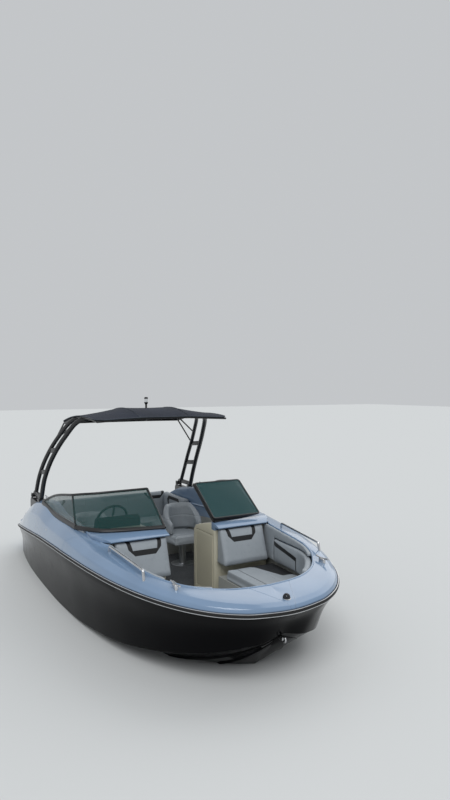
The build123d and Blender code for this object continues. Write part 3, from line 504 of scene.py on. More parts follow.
class Form:
    """A mesh under construction."""

    def __init__(self) -> None:
        """Start empty."""
        self.bm = bmesh.new()

    def box(self, low: Point, high: Point, bevel: float = 0.0, segments: int = 3) -> "Form":
        """Add a box between two corners, its edges rounded by bevel."""
        size = Vector(high) - Vector(low)
        place = Matrix.Translation((Vector(low) + Vector(high)) / 2) @ Matrix.Diagonal((*size, 1))
        verts = bmesh.ops.create_cube(self.bm, size=1, matrix=place)["verts"]
        self.round(verts, bevel, segments)
        return self

    def ease(self, edges: list, bevel: float, segments: int) -> None:
        """Bevel edges."""
        bmesh.ops.bevel(self.bm, geom=edges, offset=bevel, segments=segments, affect="EDGES", profile=0.5,
                        material=-1, clamp_overlap=True)

    def round(self, verts: Iterable, bevel: float, segments: int) -> None:
        """Bevel every edge at the given vertices."""
        if bevel:
            self.ease(once(e for v in verts for e in v.link_edges), bevel, segments)

    def prism(self, outline: Sequence[Point], along: Point, bevel: float = 0.0, segments: int = 3) -> "Form":
        """Add a prism: an outline of points pushed along a vector."""
        face = self.bm.faces.new([self.bm.verts.new(p) for p in outline])
        pushed = bmesh.ops.extrude_face_region(self.bm, geom=[face])["geom"]
        top = [g for g in pushed if isinstance(g, bmesh.types.BMVert)]
        bmesh.ops.translate(self.bm, verts=top, vec=Vector(along))
        verts = once(v for t in top for e in t.link_edges for v in e.verts)
        bmesh.ops.recalc_face_normals(self.bm, faces=once(f for v in verts for f in v.link_faces))
        self.round(verts, bevel, segments)
        return self

    def slab(self, plan: Iterable[Point], low: float, tall: float, bevel: float = 0.0) -> "Form":
        """Add a level slab of a plan."""
        return self.prism([(p[0], p[1], low) for p in plan], (0, 0, tall), bevel)

    def beam(self, profile: Iterable[Point], y: float, wide: float, bevel: float = 0.0,
             segments: int = 3) -> "Form":
        """Add a bar across the boat, of a profile of (x, z)."""
        return self.prism([(x, y, z) for x, z in profile], (0, wide, 0), bevel, segments)

    def rod(self, start: Point, end: Point, radius: float, end_radius: Optional[float] = None,
            segments: int = 24, bevel: float = 0.0) -> "Form":
        """Add a round bar or cone between two points."""
        run = Vector(end) - Vector(start)
        turn = run.to_track_quat("Z", "Y").to_matrix().to_4x4()
        verts = bmesh.ops.create_cone(
            self.bm, cap_ends=True, segments=segments, radius1=radius,
            radius2=radius if end_radius is None else end_radius, depth=run.length,
            matrix=Matrix.Translation((Vector(start) + Vector(end)) / 2) @ turn)["verts"]
        if bevel:
            edges = once(e for v in verts for e in v.link_edges)
            self.ease([e for e in edges if any(len(f.verts) == segments for f in e.link_faces)], bevel, 2)
        return self

    def ring(self, points: Sequence[Point], closed: bool) -> list:
        """Add a line of vertices and return its edges."""
        verts = [self.bm.verts.new(p) for p in points]
        pairs = list(zip(verts, verts[1:] + verts[:1]))
        return [self.bm.edges.new(pair) for pair in (pairs if closed else pairs[:-1])]

    def loft(self, sections: Sequence[Sequence[Point]], closed: bool = True, loop: bool = False) -> "Form":
        """Join sections into a skin, with its ends closed where the sections are loops.

        Args:
            sections: points of each section, the same number in each.
            closed: each section is a closed loop.
            loop: join the last section to the first.

        Returns:
            The form itself.
        """
        rings = [self.ring(points, closed) for points in sections]
        pairs = list(zip(rings, rings[1:])) + ([(rings[-1], rings[0])] if loop else [])
        for first, second in pairs:
            bmesh.ops.bridge_loops(self.bm, edges=first + second)
        if closed and not loop:
            for edges in (rings[0], rings[-1]):
                bmesh.ops.edgeloop_fill(self.bm, edges=edges)
        return self

    def tube(self, path: Sequence[Point], radius: float, closed: bool = False, segments: int = 12,
             squash: float = 1.0, up: Optional[Point] = None, square: float = 1.0) -> "Form":
        """Sweep a round section along a path.

        Args:
            path: points of the centreline.
            radius: radius of the section.
            closed: the path is a loop.
            segments: points round the section.
            squash: the section's height against its width.
            up: direction of the section's height.
            square: below 1, how far the section fills out to a square.

        Returns:
            The form itself.
        """
        points = [Vector(p) for p in path]
        count = len(points)
        sections, side = [], None
        for i, point in enumerate(points):
            before = points[i - 1] if i or closed else point
            after = points[(i + 1) % count] if i < count - 1 or closed else point
            run = (after - before).normalized()
            level = Vector((0, 0, 1)) if abs(run.z) < 0.9 else Vector((1, 0, 0))
            lead = Vector(up) if up else side or level
            side = (lead - run * lead.dot(run)).normalized()
            other = run.cross(side)
            section = []
            for k in range(segments):
                angle = 2 * math.pi * (k + 0.5) / segments
                c, s = math.cos(angle), math.sin(angle)
                c, s = (math.copysign(abs(a) ** square, a) for a in (c, s))
                section.append(point + side * (s * radius * squash) + other * (c * radius))
            sections.append(section)
        return self.loft(sections, loop=closed)

    def turn(self, profile: Sequence[tuple[float, float]], origin: Point, axis: Point,
             steps: int = 48) -> "Form":
        """Spin a closed profile of (radius, height) points round an axis."""
        direction = Vector(axis).normalized()
        across = direction.orthogonal().normalized()
        points = [Vector(origin) + across * r + direction * h for r, h in profile]
        edges = self.ring(points, closed=True)
        verts = once(v for e in edges for v in e.verts)
        before = set(self.bm.verts)
        bmesh.ops.spin(self.bm, geom=verts + edges, cent=Vector(origin), axis=direction, angle=2 * math.pi,
                       steps=steps, use_merge=True)
        made = [v for v in self.bm.verts if v not in before] + [v for v in verts if v.is_valid]
        bmesh.ops.remove_doubles(self.bm, verts=made, dist=1e-6)
        return self

    def mirror(self) -> "Form":
        """Add the mirror image across the centreline."""
        whole = self.bm.verts[:] + self.bm.edges[:] + self.bm.faces[:]
        made = bmesh.ops.duplicate(self.bm, geom=whole)["geom"]
        verts = [g for g in made if isinstance(g, bmesh.types.BMVert)]
        bmesh.ops.scale(self.bm, vec=(1, -1, 1), verts=verts)
        bmesh.ops.reverse_faces(self.bm, faces=[g for g in made if isinstance(g, bmesh.types.BMFace)])
        return self

    def weld(self, distance: float = 1e-5) -> "Form":
        """Merge doubles and turn the faces outwards."""
        bmesh.ops.remove_doubles(self.bm, verts=self.bm.verts, dist=distance)
        bmesh.ops.dissolve_degenerate(self.bm, edges=self.bm.edges, dist=distance)
        bmesh.ops.recalc_face_normals(self.bm, faces=self.bm.faces)
        return self

    def made(self, name: str) -> Piece:
        """Turn the form into an object with its place in its mesh."""
        bmesh.ops.recalc_face_normals(self.bm, faces=self.bm.faces)
        mesh = bpy.data.meshes.new(name)
        self.bm.to_mesh(mesh)
        self.bm.free()
        piece = bpy.data.objects.new(name, mesh)
        bpy.context.scene.collection.objects.link(piece)
        return piece


def smooth(piece: Piece, angle: float = 32.0) -> None:
    """Shade smooth, with edges sharper than angle degrees kept."""
    mesh = piece.data
    mesh.polygons.foreach_set("use_smooth", [True] * len(mesh.polygons))
    mesh.set_sharp_from_angle(angle=math.radians(angle))
    mesh.update()


def modify(piece: Piece, kind: str, **settings: object) -> bpy.types.Modifier:
    """Add a modifier with its settings."""
    modifier = piece.modifiers.new(kind.lower(), kind)
    for name, value in settings.items():
        setattr(modifier, name, value)
    return modifier


def settle(piece: Piece) -> Piece:
    """Replace a piece's mesh by what its modifiers make of it."""
    bpy.context.view_layer.update()
    graph = bpy.context.evaluated_depsgraph_get()
    mesh = bpy.data.meshes.new_from_object(piece.evaluated_get(graph))
    piece.modifiers.clear()
    piece.data = mesh
    return piece


def carve(piece: Piece, tools: Iterable[Piece]) -> Piece:
    """Cut tools out of a piece and delete them."""
    for tool in tools:
        modify(piece, "BOOLEAN", operation="DIFFERENCE", solver="EXACT", object=tool)
        settle(piece)
        bpy.data.objects.remove(tool)
    return piece


def finished(piece: Piece, finish: Finish, body: str, stands_for: Sequence[str] = (),
             angle: float = 32.0) -> Piece:
    """Dress a piece and give it to the frame.

    Args:
        piece: the object.
        finish: its finish.
        body: CAD body that it rides on.
        stands_for: CAD nodes that it replaces.
        angle: edges sharper than this stay sharp.

    Returns:
        The piece.
    """
    smooth(piece, angle)
    piece.data.materials.clear()
    piece.data.materials.append(finish.value.material())
    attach(piece, body)
    if stands_for:
        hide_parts(*stands_for)
    return piece


def flow(knots: Sequence[float], values: Sequence[float], at: float, level_end: bool = False) -> float:
    """Value of a smooth curve through points, with no overshoot.

    Args:
        knots: rising places of the points.
        values: their values.
        at: place asked for.
        level_end: the curve ends level.

    Returns:
        The value there.
    """
    steps = [(b - a, (w - v) / (b - a)) for a, b, v, w in zip(knots, knots[1:], values, values[1:])]
    slopes = [steps[0][1]]
    for (h, m), (k, n) in zip(steps, steps[1:]):
        slopes.append(0.0 if m * n <= 0 else 3 * (h + k) / ((2 * k + h) / m + (k + 2 * h) / n))
    slopes.append(0.0 if level_end else steps[-1][1])
    i = max(0, min(len(steps) - 1, sum(1 for k in knots[1:-1] if k <= at)))
    h = steps[i][0]
    t = (at - knots[i]) / h
    return ((2 * t**3 - 3 * t**2 + 1) * values[i] + (t**3 - 2 * t**2 + t) * h * slopes[i]
            + (3 * t**2 - 2 * t**3) * values[i + 1] + (t**3 - t**2) * h * slopes[i + 1])


def curve(points: Sequence[Point], steps: int) -> list[Vector]:
    """Points on a smooth curve through a few points, steps to each span."""
    points = [Vector(p) for p in points]
    knots = [0.0]
    for a, b in zip(points, points[1:]):
        knots.append(knots[-1] + (b - a).length)
    places = [a + (b - a) * k / steps for a, b in zip(knots, knots[1:]) for k in range(steps)] + [knots[-1]]
    return [Vector(flow(knots, [p[i] for p in points], at) for i in range(len(points[0]))) for at in places]


def rounded(points: Sequence[Point], radius: float, steps: int = 6, closed: bool = False) -> list[Vector]:
    """Points of a path with its corners rounded by about radius."""
    points = [Vector(p) for p in points]
    out = [] if closed else [points[0]]
    count = len(points)
    for i in range(0 if closed else 1, count if closed else count - 1):
        corner, before, after = points[i], points[i - 1], points[(i + 1) % count]
        back, on = before - corner, after - corner
        reach = min(radius / max(math.tan(back.angle(on) / 2), 0.2), back.length * 0.48, on.length * 0.48)
        start, end = corner + back.normalized() * reach, corner + on.normalized() * reach
        for k in range(steps + 1):
            t = k / steps
            out.append(start * (1 - t) ** 2 + corner * 2 * t * (1 - t) + end * t**2)
    return out if closed else out + [points[-1]]


def bearing(side: Vector, up: Vector, degrees: float) -> Vector:
    """Direction at an angle from side towards up."""
    angle = math.radians(degrees)
    return side * math.cos(angle) + up * math.sin(angle)


def mirrored(points: Sequence[Point]) -> list[Vector]:
    """The points on the other side of the centreline."""
    return [Vector((p[0], -p[1], p[2])) for p in points]


# Hull and deck


@dataclass(frozen=True)
class Station:
    """One upright plane through the keel and the rail, fanned round the bow."""

    keel_x: float
    keel_z: float
    rail_x: float
    rail_y: float
    chine_part: float
    chine_z: float
    crown: float

    def place(self, out: float, up: float) -> Vector:
        """Point at a distance out from the keel line and a height."""
        width = self.width
        return Vector((self.keel_x + (self.rail_x - self.keel_x) * out / width, self.rail_y * out / width, up))

    @property
    def width(self) -> float:
        """Distance from the keel line to the rail."""
        return math.hypot(self.rail_x - self.keel_x, self.rail_y)


@dataclass
class Lines:
    """The boat's lines: the same stations as the CAD part, faired between."""

    sheer_mid: float = 0.692
    sheer_slope: float = 0.058
    sheer_sag: float = 0.027
    steps: int = 8
    # how far in, in insets, and how high, in crowns, the flank, creases and shoulder lie
    shoulder: tuple = ((0.05, 0.24), (0.10, 0.42), (0.150, 0.565), (0.178, 0.605), (0.215, 0.632), (0.33, 0.705),
                       (0.50, 0.815), (0.63, 0.895), (0.70, 0.922), (0.78, 0.938), (0.95, 0.972), (1.15, 1.010))
    stations: tuple = (
        Station(-2.450, -0.380, -2.450, 1.040, 0.950, -0.020, 0.060),
        Station(-1.950, -0.380, -1.950, 1.120, 0.930, -0.012, 0.125),
        Station(-1.500, -0.380, -1.500, 1.170, 0.915, -0.005, 0.290),
        Station(-1.050, -0.380, -1.050, 1.198, 0.905, 0.000, 0.368),
        Station(-0.650, -0.380, -0.650, 1.208, 0.900, 0.000, 0.372),
        Station(-0.100, -0.378, -0.100, 1.213, 0.895, 0.010, 0.262),
        Station(0.500, -0.372, 0.500, 1.206, 0.885, 0.032, 0.215),
        Station(1.050, -0.350, 1.100, 1.168, 0.870, 0.075, 0.158),
        Station(1.480, -0.305, 1.560, 1.105, 0.850, 0.120, 0.130),
        Station(1.820, -0.225, 1.950, 1.008, 0.820, 0.175, 0.106),
        Station(2.100, -0.110, 2.270, 0.872, 0.785, 0.235, 0.084),
        Station(2.310, 0.030, 2.520, 0.702, 0.735, 0.290, 0.080),
        Station(2.440, 0.150, 2.690, 0.510, 0.680, 0.340, 0.078),
        Station(2.520, 0.245, 2.790, 0.300, 0.610, 0.375, 0.075),
        Station(2.555, 0.300, 2.835, 0.000, 0.450, 0.412, 0.070),
    )

    def sheer(self, x: float) -> float:
        """Height of the rub rail."""
        return self.sheer_mid + self.sheer_slope * x - self.sheer_sag * x * x

    def faired(self) -> list[Station]:
        """Stations faired in between, steps to each span."""
        table = [list(vars(s).values()) for s in self.stations]
        knots = [0.0]
        for a, b in zip(self.stations, self.stations[1:]):
            knots.append(knots[-1] + math.hypot(b.rail_x - a.rail_x, b.rail_y - a.rail_y))
        places = [a + (b - a) * k / self.steps for a, b in zip(knots, knots[1:]) for k in range(self.steps)]
        rows = []
        for at in places + [knots[-1]]:
            columns = [flow(knots, [row[i] for row in table], at, level_end=i != 3) for i in range(7)]
            rows.append(Station(*columns))
        return rows

    def hull_section(self, s: Station) -> list[Vector]:
        """Half section from the keel out to the rail: strakes, chine flat and flared side."""
        chine = s.chine_part * s.width
        rise = (s.chine_z - s.keel_z) / chine
        rail_z = self.sheer(s.rail_x)
        points = [(0.0, s.keel_z)]
        for part in (0.34, 0.62):
            inner, outer = part * chine, (part + 0.045) * chine
            points += [(inner, s.keel_z + rise * inner), (outer, s.keel_z + rise * inner),
                       (outer, s.keel_z + rise * outer)]
        points += [(0.95 * chine, s.chine_z - 0.015 * rise * chine - 0.008), (chine, s.chine_z - 0.006)]
        middle = (chine + s.width) / 2 - 0.02 * s.width
        side = curve([(chine, s.chine_z - 0.006, 0), (middle, (s.chine_z + rail_z) / 2, 0),
                      (s.width, rail_z - 0.030, 0)], 4)
        points += [(p.x, p.y) for p in side[1:]] + [(s.width, rail_z)]
        return [s.place(*p) for p in points]

    def deck_section(self, s: Station) -> list[Vector]:
        """Half section from the centreline out over two creases and down the flank to the rail."""
        inset, rail_z, c = 0.090 + 0.15 * s.crown, self.sheer(s.rail_x), s.crown
        w = s.width
        points = [(w, rail_z), (w, rail_z + 0.020)]
        points += [(w - part * inset, rail_z + height * c) for part, height in self.shoulder]
        inner, top = points[-1], (0.0, rail_z + c + 0.020)
        points += [(inner[0] * (1 - t), inner[1] + (top[1] - inner[1]) * t) for t in (0.25, 0.5, 0.75, 1.0)]
        return [s.place(*p) for p in reversed(points)]


@dataclass
class Hull:
    """Black hull shell, engine bed and intake, blue deck, rub rail and coaming lip."""

    lines: Lines
    shell: float = 0.010
    lip_r: float = 0.012
    # the cockpit's aft end, its fore end and half its width
    tub: tuple = (-1.720, 1.130, 0.950)
    # the hatch's fore edge and aft edge (x, z), half its width, its thickness
    hatch: tuple = ((-1.766, 0.715), (-2.314, 0.515), 0.600, 0.050)
    hatch_gap: float = 0.006

    def well(self) -> list[Vector]:
        """Half plan of the cockpit and the bow well, from aft to the nose."""
        aft, fore, half = self.tub
        side = [(aft, 0, 0), (aft, half, 0), (fore - 0.060, half, 0), (fore, 0.918, 0)]
        arc = curve([(1.800, 0.868, 0), (2.010, 0.806, 0), (2.165, 0.712, 0), (2.298, 0.595, 0),
                     (2.390, 0.470, 0), (2.446, 0.350, 0), (2.474, 0.230, 0), (2.487, 0.110, 0),
                     (2.490, 0.0, 0)], 3)
        return [Vector(p) for p in side] + arc

    def hull(self) -> Piece:
        """Shell with its transom, open where the jet draws its water."""
        sections = [self.lines.hull_section(s) for s in self.lines.faired()]
        form = Form().loft(sections, closed=False).mirror().weld(2e-4)
        stern_x = self.lines.stations[0].keel_x
        edge = [e for e in form.bm.edges if e.is_boundary and all(abs(v.co.x - stern_x) < 1e-4 for v in e.verts)]
        stern = bmesh.ops.contextual_create(form.bm, geom=edge)["faces"]
        shell = form.made("hull_shell")
        modify(shell, "SOLIDIFY", thickness=self.shell, offset=-1.0)
        settle(shell)
        log.info("transom closed with %d face", len(stern))
        return carve(shell, [Form().box((-2.200, -0.084, -0.45), (-1.760, 0.084, -0.30)).made("tool")])

    def deck(self) -> Piece:
        """Deck moulding with the well and the hatch cut out."""
        sections = [self.lines.deck_section(s) for s in self.lines.faired()]
        closed = [row + [Vector((row[0].x, 0.0, row[-1].z))] for row in sections]
        deck = Form().loft(closed).mirror().weld(2e-4).made("deck_moulding")
        half = self.well()
        plan = half + mirrored(half[1:-1])[::-1]
        well = Form().slab(plan, -0.2, 2).made("tool")
        (fore_x, fore_z), (aft_x, aft_z), side, lid = self.hatch
        gap = self.hatch_gap
        profile = [(fore_x + gap, fore_z - lid + 0.002), (aft_x - gap, aft_z - lid - 0.0026), (aft_x - gap, 1.0),
                   (fore_x + gap, 1.0)]
        rebate = Form().beam(profile, -side - gap, 2 * (side + gap)).made("tool")
        bay = Form().box((-2.290, -0.560, -0.2), (-1.790, 0.560, 1.0)).made("tool")
        return carve(deck, [well, rebate, bay])

    def lip(self, deck: Piece) -> Piece:
        """Rolled lip of the deck round the well."""
        tree = BVHTree.FromObject(deck, bpy.context.evaluated_depsgraph_get())
        half = rounded(self.well()[1:], 0.08, 5)
        path = []
        for p in half:
            above = Vector((p.x + (self.lip_r if p.x > 2.2 else 0), p.y + self.lip_r, 2.0))
            hit = tree.ray_cast(above, Vector((0, 0, -1)))[0]
            height = hit.z if hit else self.lines.sheer(p.x) + 0.1
            path.append(Vector((p.x, p.y, height - 0.004)))
        route = path[:-1] + mirrored(path)[::-1]
        return Form().tube(route, self.lip_r).made("coaming_lip")

    def rail(self) -> tuple[Piece, Piece]:
        """Rubber rub rail and its two bright lines."""
        rubber, strips = [], ([], [])
        for s in self.lines.faired():
            z, w = self.lines.sheer(s.rail_x), s.width
            body = ((-0.002, -0.020), (0.009, -0.0195), (0.015, -0.016), (0.0195, -0.009), (0.020, -0.003),
                    (0.0185, 0.004), (0.0145, 0.0105), (0.007, 0.0145), (-0.002, 0.015))
            rubber.append([s.place(w + out, z + up) for out, up in body])
            for strip, (out, up) in zip(strips, ((0.0125, 0.0118), (0.0130, -0.0178))):
                bead = ((-0.003, -0.003), (0.002, -0.003), (0.003, 0.0), (0.002, 0.003), (-0.003, 0.003))
                strip.append([s.place(w + out + a, z + up + b) for a, b in bead])
        rail = Form().loft(rubber).mirror().weld(2e-4).made("rub_rail_rubber")
        return rail, Form().loft(strips[0]).loft(strips[1]).mirror().weld(2e-4).made("rub_rail_inserts")

    def tray(self, name: str, corners: tuple[Point, Point], bevel: float, up: int, cut: float,
             thick: float) -> Piece:
        """Thin box without its faces over (up 1) or under (up -1) the height cut."""
        form = Form().box(*corners, bevel)
        faces = [f for f in form.bm.faces if f.calc_center_median().z * up > cut * up]
        bmesh.ops.delete(form.bm, geom=faces, context="FACES")
        tray = form.made(name)
        modify(tray, "SOLIDIFY", thickness=thick, offset=-up)
        return settle(tray)

    def build(self) -> None:
        """Make and dress every piece of the hull and deck."""
        finished(self.hull(), Finish.HULL, "hull", ["hull"], 24)
        deck = finished(self.deck(), Finish.DECK, "hull", ["deck"], 40)
        finished(self.lip(deck), Finish.DECK, "hull")
        rubber, insert = self.rail()
        finished(rubber, Finish.RUBBER, "hull", ["rub_rail"], 50)
        finished(insert, Finish.STEEL, "hull", (), 50)
        bed = self.tray("engine_bed", ((-2.300, -0.400, -0.158), (-1.780, 0.400, 0.330)), 0.03, 1, 0.31, 0.006)
        finished(bed, Finish.LINER, "hull")
        duct = self.tray("intake_duct", ((-2.206, -0.090, -0.352), (-1.754, 0.090, -0.296)), 0.01, -1, -0.345,
                         0.005)
        finished(duct, Finish.CAST, "hull")


# CAD nodes that stay


@dataclass
class KeptNodes:
    """CAD nodes whose shape is right: edges eased by modifiers, and a finish."""

    frame: dict
    table: tuple = (
        # node, finish, edge rounding
        ("liner", Finish.LINER, 0.006),
        ("engine", Finish.ENGINE, 0.012),
        ("engine_hatch", Finish.DECK, 0.008),
        ("console_port", Finish.CONSOLE, 0.022),
        ("console_starboard", Finish.CONSOLE, 0.022),
        ("console_door", Finish.CONSOLE, 0.004),
        ("glovebox_lid", Finish.CONSOLE, 0.004),
        ("cowls", Finish.DECK, 0.010),
        ("dash_pod", Finish.PLASTIC, 0.006),
        ("seat_pedestals", Finish.ALLOY, 0.003),
        ("bench_base", Finish.LINER, 0.015),
        ("tower_feet", Finish.POWDER, 0.004),
        ("canopy_frame", Finish.POWDER, 0.0),
        ("swim_platform", Finish.DECK, 0.010),
        ("boarding_ladder", Finish.STEEL, 0.0),
        ("jet_housing", Finish.CAST, 0.003),
        ("impeller", Finish.STEEL, 0.001),
        ("steering_nozzle", Finish.CAST, 0.002),
        ("reverse_bucket", Finish.CAST, 0.003),
        ("tow_eyes", Finish.STEEL, 0.002),
        ("intake_grate", Finish.CAST, 0.001),
    )

    def build(self) -> None:
        """Dress every kept node."""
        for name, finish, easing in self.table:
            node = self.frame["nodes"][name]
            node.data.materials.clear()
            node.data.materials.append(finish.value.material())
            node.data.polygons.foreach_set("use_smooth", [True] * len(node.data.polygons))
            modify(node, "WELD", merge_threshold=2e-5)
            if easing:
                modify(node, "BEVEL", width=easing, segments=3, limit_method="ANGLE",
                       angle_limit=math.radians(40))
            modify(node, "EDGE_SPLIT", split_angle=math.radians(34), use_edge_angle=True)
            log.info("kept %s", name)


# Soft goods


@dataclass
class Pad:
    """One padded piece: a closed form that is remeshed, blown up a little and sewn."""

    name: str
    finish: Finish
    stands_for: tuple = ()
    body: str = "hull"
    voxel: float = 0.011
    swell: float = 0.012
    fill: float = 0.75
    # sewn lines: axis across the line, its place, and whether it is on both sides of the centreline
    seams: tuple = ()
    seam_wide: float = 0.014
    seam_deep: float = 0.0055

    def blow_up(self, piece: Piece, floor: Optional[float]) -> None:
        """Let cloth pressure crown the piece, no point by more than the swell."""
        rest = [v.co.copy() for v in piece.data.vertices]
        held = piece.vertex_groups.new(name="held")
        if floor is not None:
            held.add([i for i, co in enumerate(rest) if co.z < floor], 1.0, "REPLACE")
        cloth = modify(piece, "CLOTH")
        cloth.settings.use_pressure = True
        cloth.settings.uniform_pressure_force = 4.0
        cloth.settings.quality = 4
        cloth.settings.effector_weights.gravity = 0.0
        cloth.settings.vertex_group_mass = "held"
        cloth.point_cache.frame_start, cloth.point_cache.frame_end = 1, 20
        scene = bpy.context.scene
        for step in range(1, 21):
            scene.frame_set(step)
        settle(piece)
        scene.frame_set(1)
        for vertex, start in zip(piece.data.vertices, rest):
            move = vertex.co - start
            if move.length > self.swell:
                vertex.co = start + move.normalized() * self.swell

    def sew(self, piece: Piece) -> None:
        """Pull the piece in along its sewn lines."""
        pulled = []
        for vertex in piece.data.vertices:
            depth = 0.0
            for axis, place, twin in self.seams:
                at = abs(vertex.co[axis]) if twin else vertex.co[axis]
                depth = max(depth, 1 - abs(at - place) / self.seam_wide)
            pulled.append(vertex.co - vertex.normal * (self.seam_deep * depth * depth))
        for vertex, co in zip(piece.data.vertices, pulled):
            vertex.co = co

    def fill_up(self, form: Form, floor: Optional[float] = None) -> None:
        """Args:
            form: closed form, a little smaller than the pad.
            floor: height below which the pad is held, where it rests on something.
        """
        piece = form.made(self.name)
        modify(piece, "REMESH", mode="VOXEL", voxel_size=self.voxel, use_smooth_shade=True)
        settle(piece)
        self.blow_up(piece, floor)
        modify(piece, "SMOOTH", factor=0.5, iterations=3)
        modify(piece, "SUBSURF", levels=1, render_levels=1)
        settle(piece)
        self.sew(piece)
        finished(piece, self.finish, self.body, self.stands_for, 180)
        log.info("padded %s with %d vertices", self.name, len(piece.data.vertices))


@dataclass
class BowSeats:
    """Cushions, backrests, bolsters and the padded coaming in the bow."""

    shelf: float = 0.400
    thick: float = 0.100
    bolster_top: float = 0.764
    pad_foot: float = 0.516
    seat_seam: float = 0.393
    well: tuple = ((1.305, 0.888), (1.800, 0.856), (2.010, 0.792), (2.155, 0.700), (2.285, 0.580), (2.378, 0.464))
    face: tuple = ((1.305, 0.846), (1.790, 0.812), (1.970, 0.752), (2.118, 0.655), (2.240, 0.548), (2.336, 0.436))
    beside: tuple = ((1.056, 0.908), (1.180, 0.902))
    nose: tuple = ((2.046, 0.720), (2.150, 0.690), (2.280, 0.590), (2.370, 0.460), (2.430, 0.300), (2.462, 0.120))

    def side_outline(self, sign: int) -> list[Vector]:
        """Plan of one side cushion, clockwise from its aft inner corner."""
        outer = [(1.256, 0.886), (1.800, 0.846), (2.020, 0.760)]
        return [Vector((x, sign * y, 0)) for x, y in [(1.256, 0.292), (2.024, 0.292), *outer[::-1]]]

    def coaming(self, side: str, sign: int) -> None:
        """Make the thin padded lining from a bolster up to the deck's lip, and down beside the backrest."""
        lines = Lines()
        rows = []
        outer = curve([(x, y, 0) for x, y in self.beside + self.well], 5)
        inner = curve([(x, y - 0.042, 0) for x, y in self.beside] + [(x, y, 0) for x, y in self.face], 5)
        for p, q in zip(outer, inner):
            crown = flow([1.100, 1.560, 1.950, 2.270, 2.520], [0.158, 0.130, 0.106, 0.084, 0.080], p.x)
            top = lines.sheer(p.x) + crown + 0.004
            q = p.lerp(q, 0.62)
            foot = self.bolster_top + 0.004 if p.x > 1.290 else self.pad_foot
            outside, inside = (p.x, sign * p.y), (q.x, sign * q.y)
            rows.append([(*outside, foot), (*outside, top), (*inside, top), (*inside, foot)])
        form = Form().loft([row for row in rows if row[1][2] - self.bolster_top > 0.030])
        Pad(f"bow_coaming_pad_{side}", Finish.VINYL, voxel=0.008, swell=0.004, fill=0.4).fill_up(form)

    def build(self) -> None:
        """Make every soft piece of the bow."""
        low, high = self.shelf + 0.002, self.shelf + self.thick - 0.004
        for side, sign in (("port", 1), ("starboard", -1)):
            plan = rounded(self.side_outline(sign), 0.03, 4, closed=True)
            form = Form().slab(plan, low, high - low, 0.022)
            Pad(f"bow_cushion_{side}", Finish.BOW_SEAT, ("bow_cushions",),
                seams=((1, self.seat_seam, True), (1, 0.572, True))).fill_up(form, low + 0.02)
        half = [Vector((x, y, 0)) for x, y in self.nose]
        plan = rounded(mirrored(half[:1]) + half + mirrored(half[1:])[::-1], 0.02, 3, closed=True)
        form = Form().slab(plan, low, high - low, 0.022)
        Pad("bow_cushion_nose", Finish.VINYL, seams=((0, 2.140, False),)).fill_up(form, low + 0.02)
        for side, sign in (("port", 1), ("starboard", -1)):
            y0, y1 = (0.296, 0.850) if sign > 0 else (-0.850, -0.296)
            profile = [(1.052, 0.510), (1.232, 0.510), (1.226, 0.560), (1.120, 0.882), (1.052, 0.886)]
            form = Form().beam(profile, y0, y1 - y0, 0.020)
            Pad(f"bow_backrest_{side}", Finish.BOW_BACK, ("bow_backrests",), swell=0.009).fill_up(form)
            outer = curve([(x, y, 0) for x, y in self.well], 4)
            inner = curve([(x, y, 0) for x, y in self.face[::-1]], 4)
            plan = [(p.x, sign * p.y) for p in outer + inner]
            form = Form().slab(plan, self.pad_foot, self.bolster_top - self.pad_foot, 0.012)
            Pad(f"bow_bolster_{side}", Finish.BOW_SIDE, ("bow_bolsters",), swell=0.008).fill_up(form)
            self.coaming(side, sign)


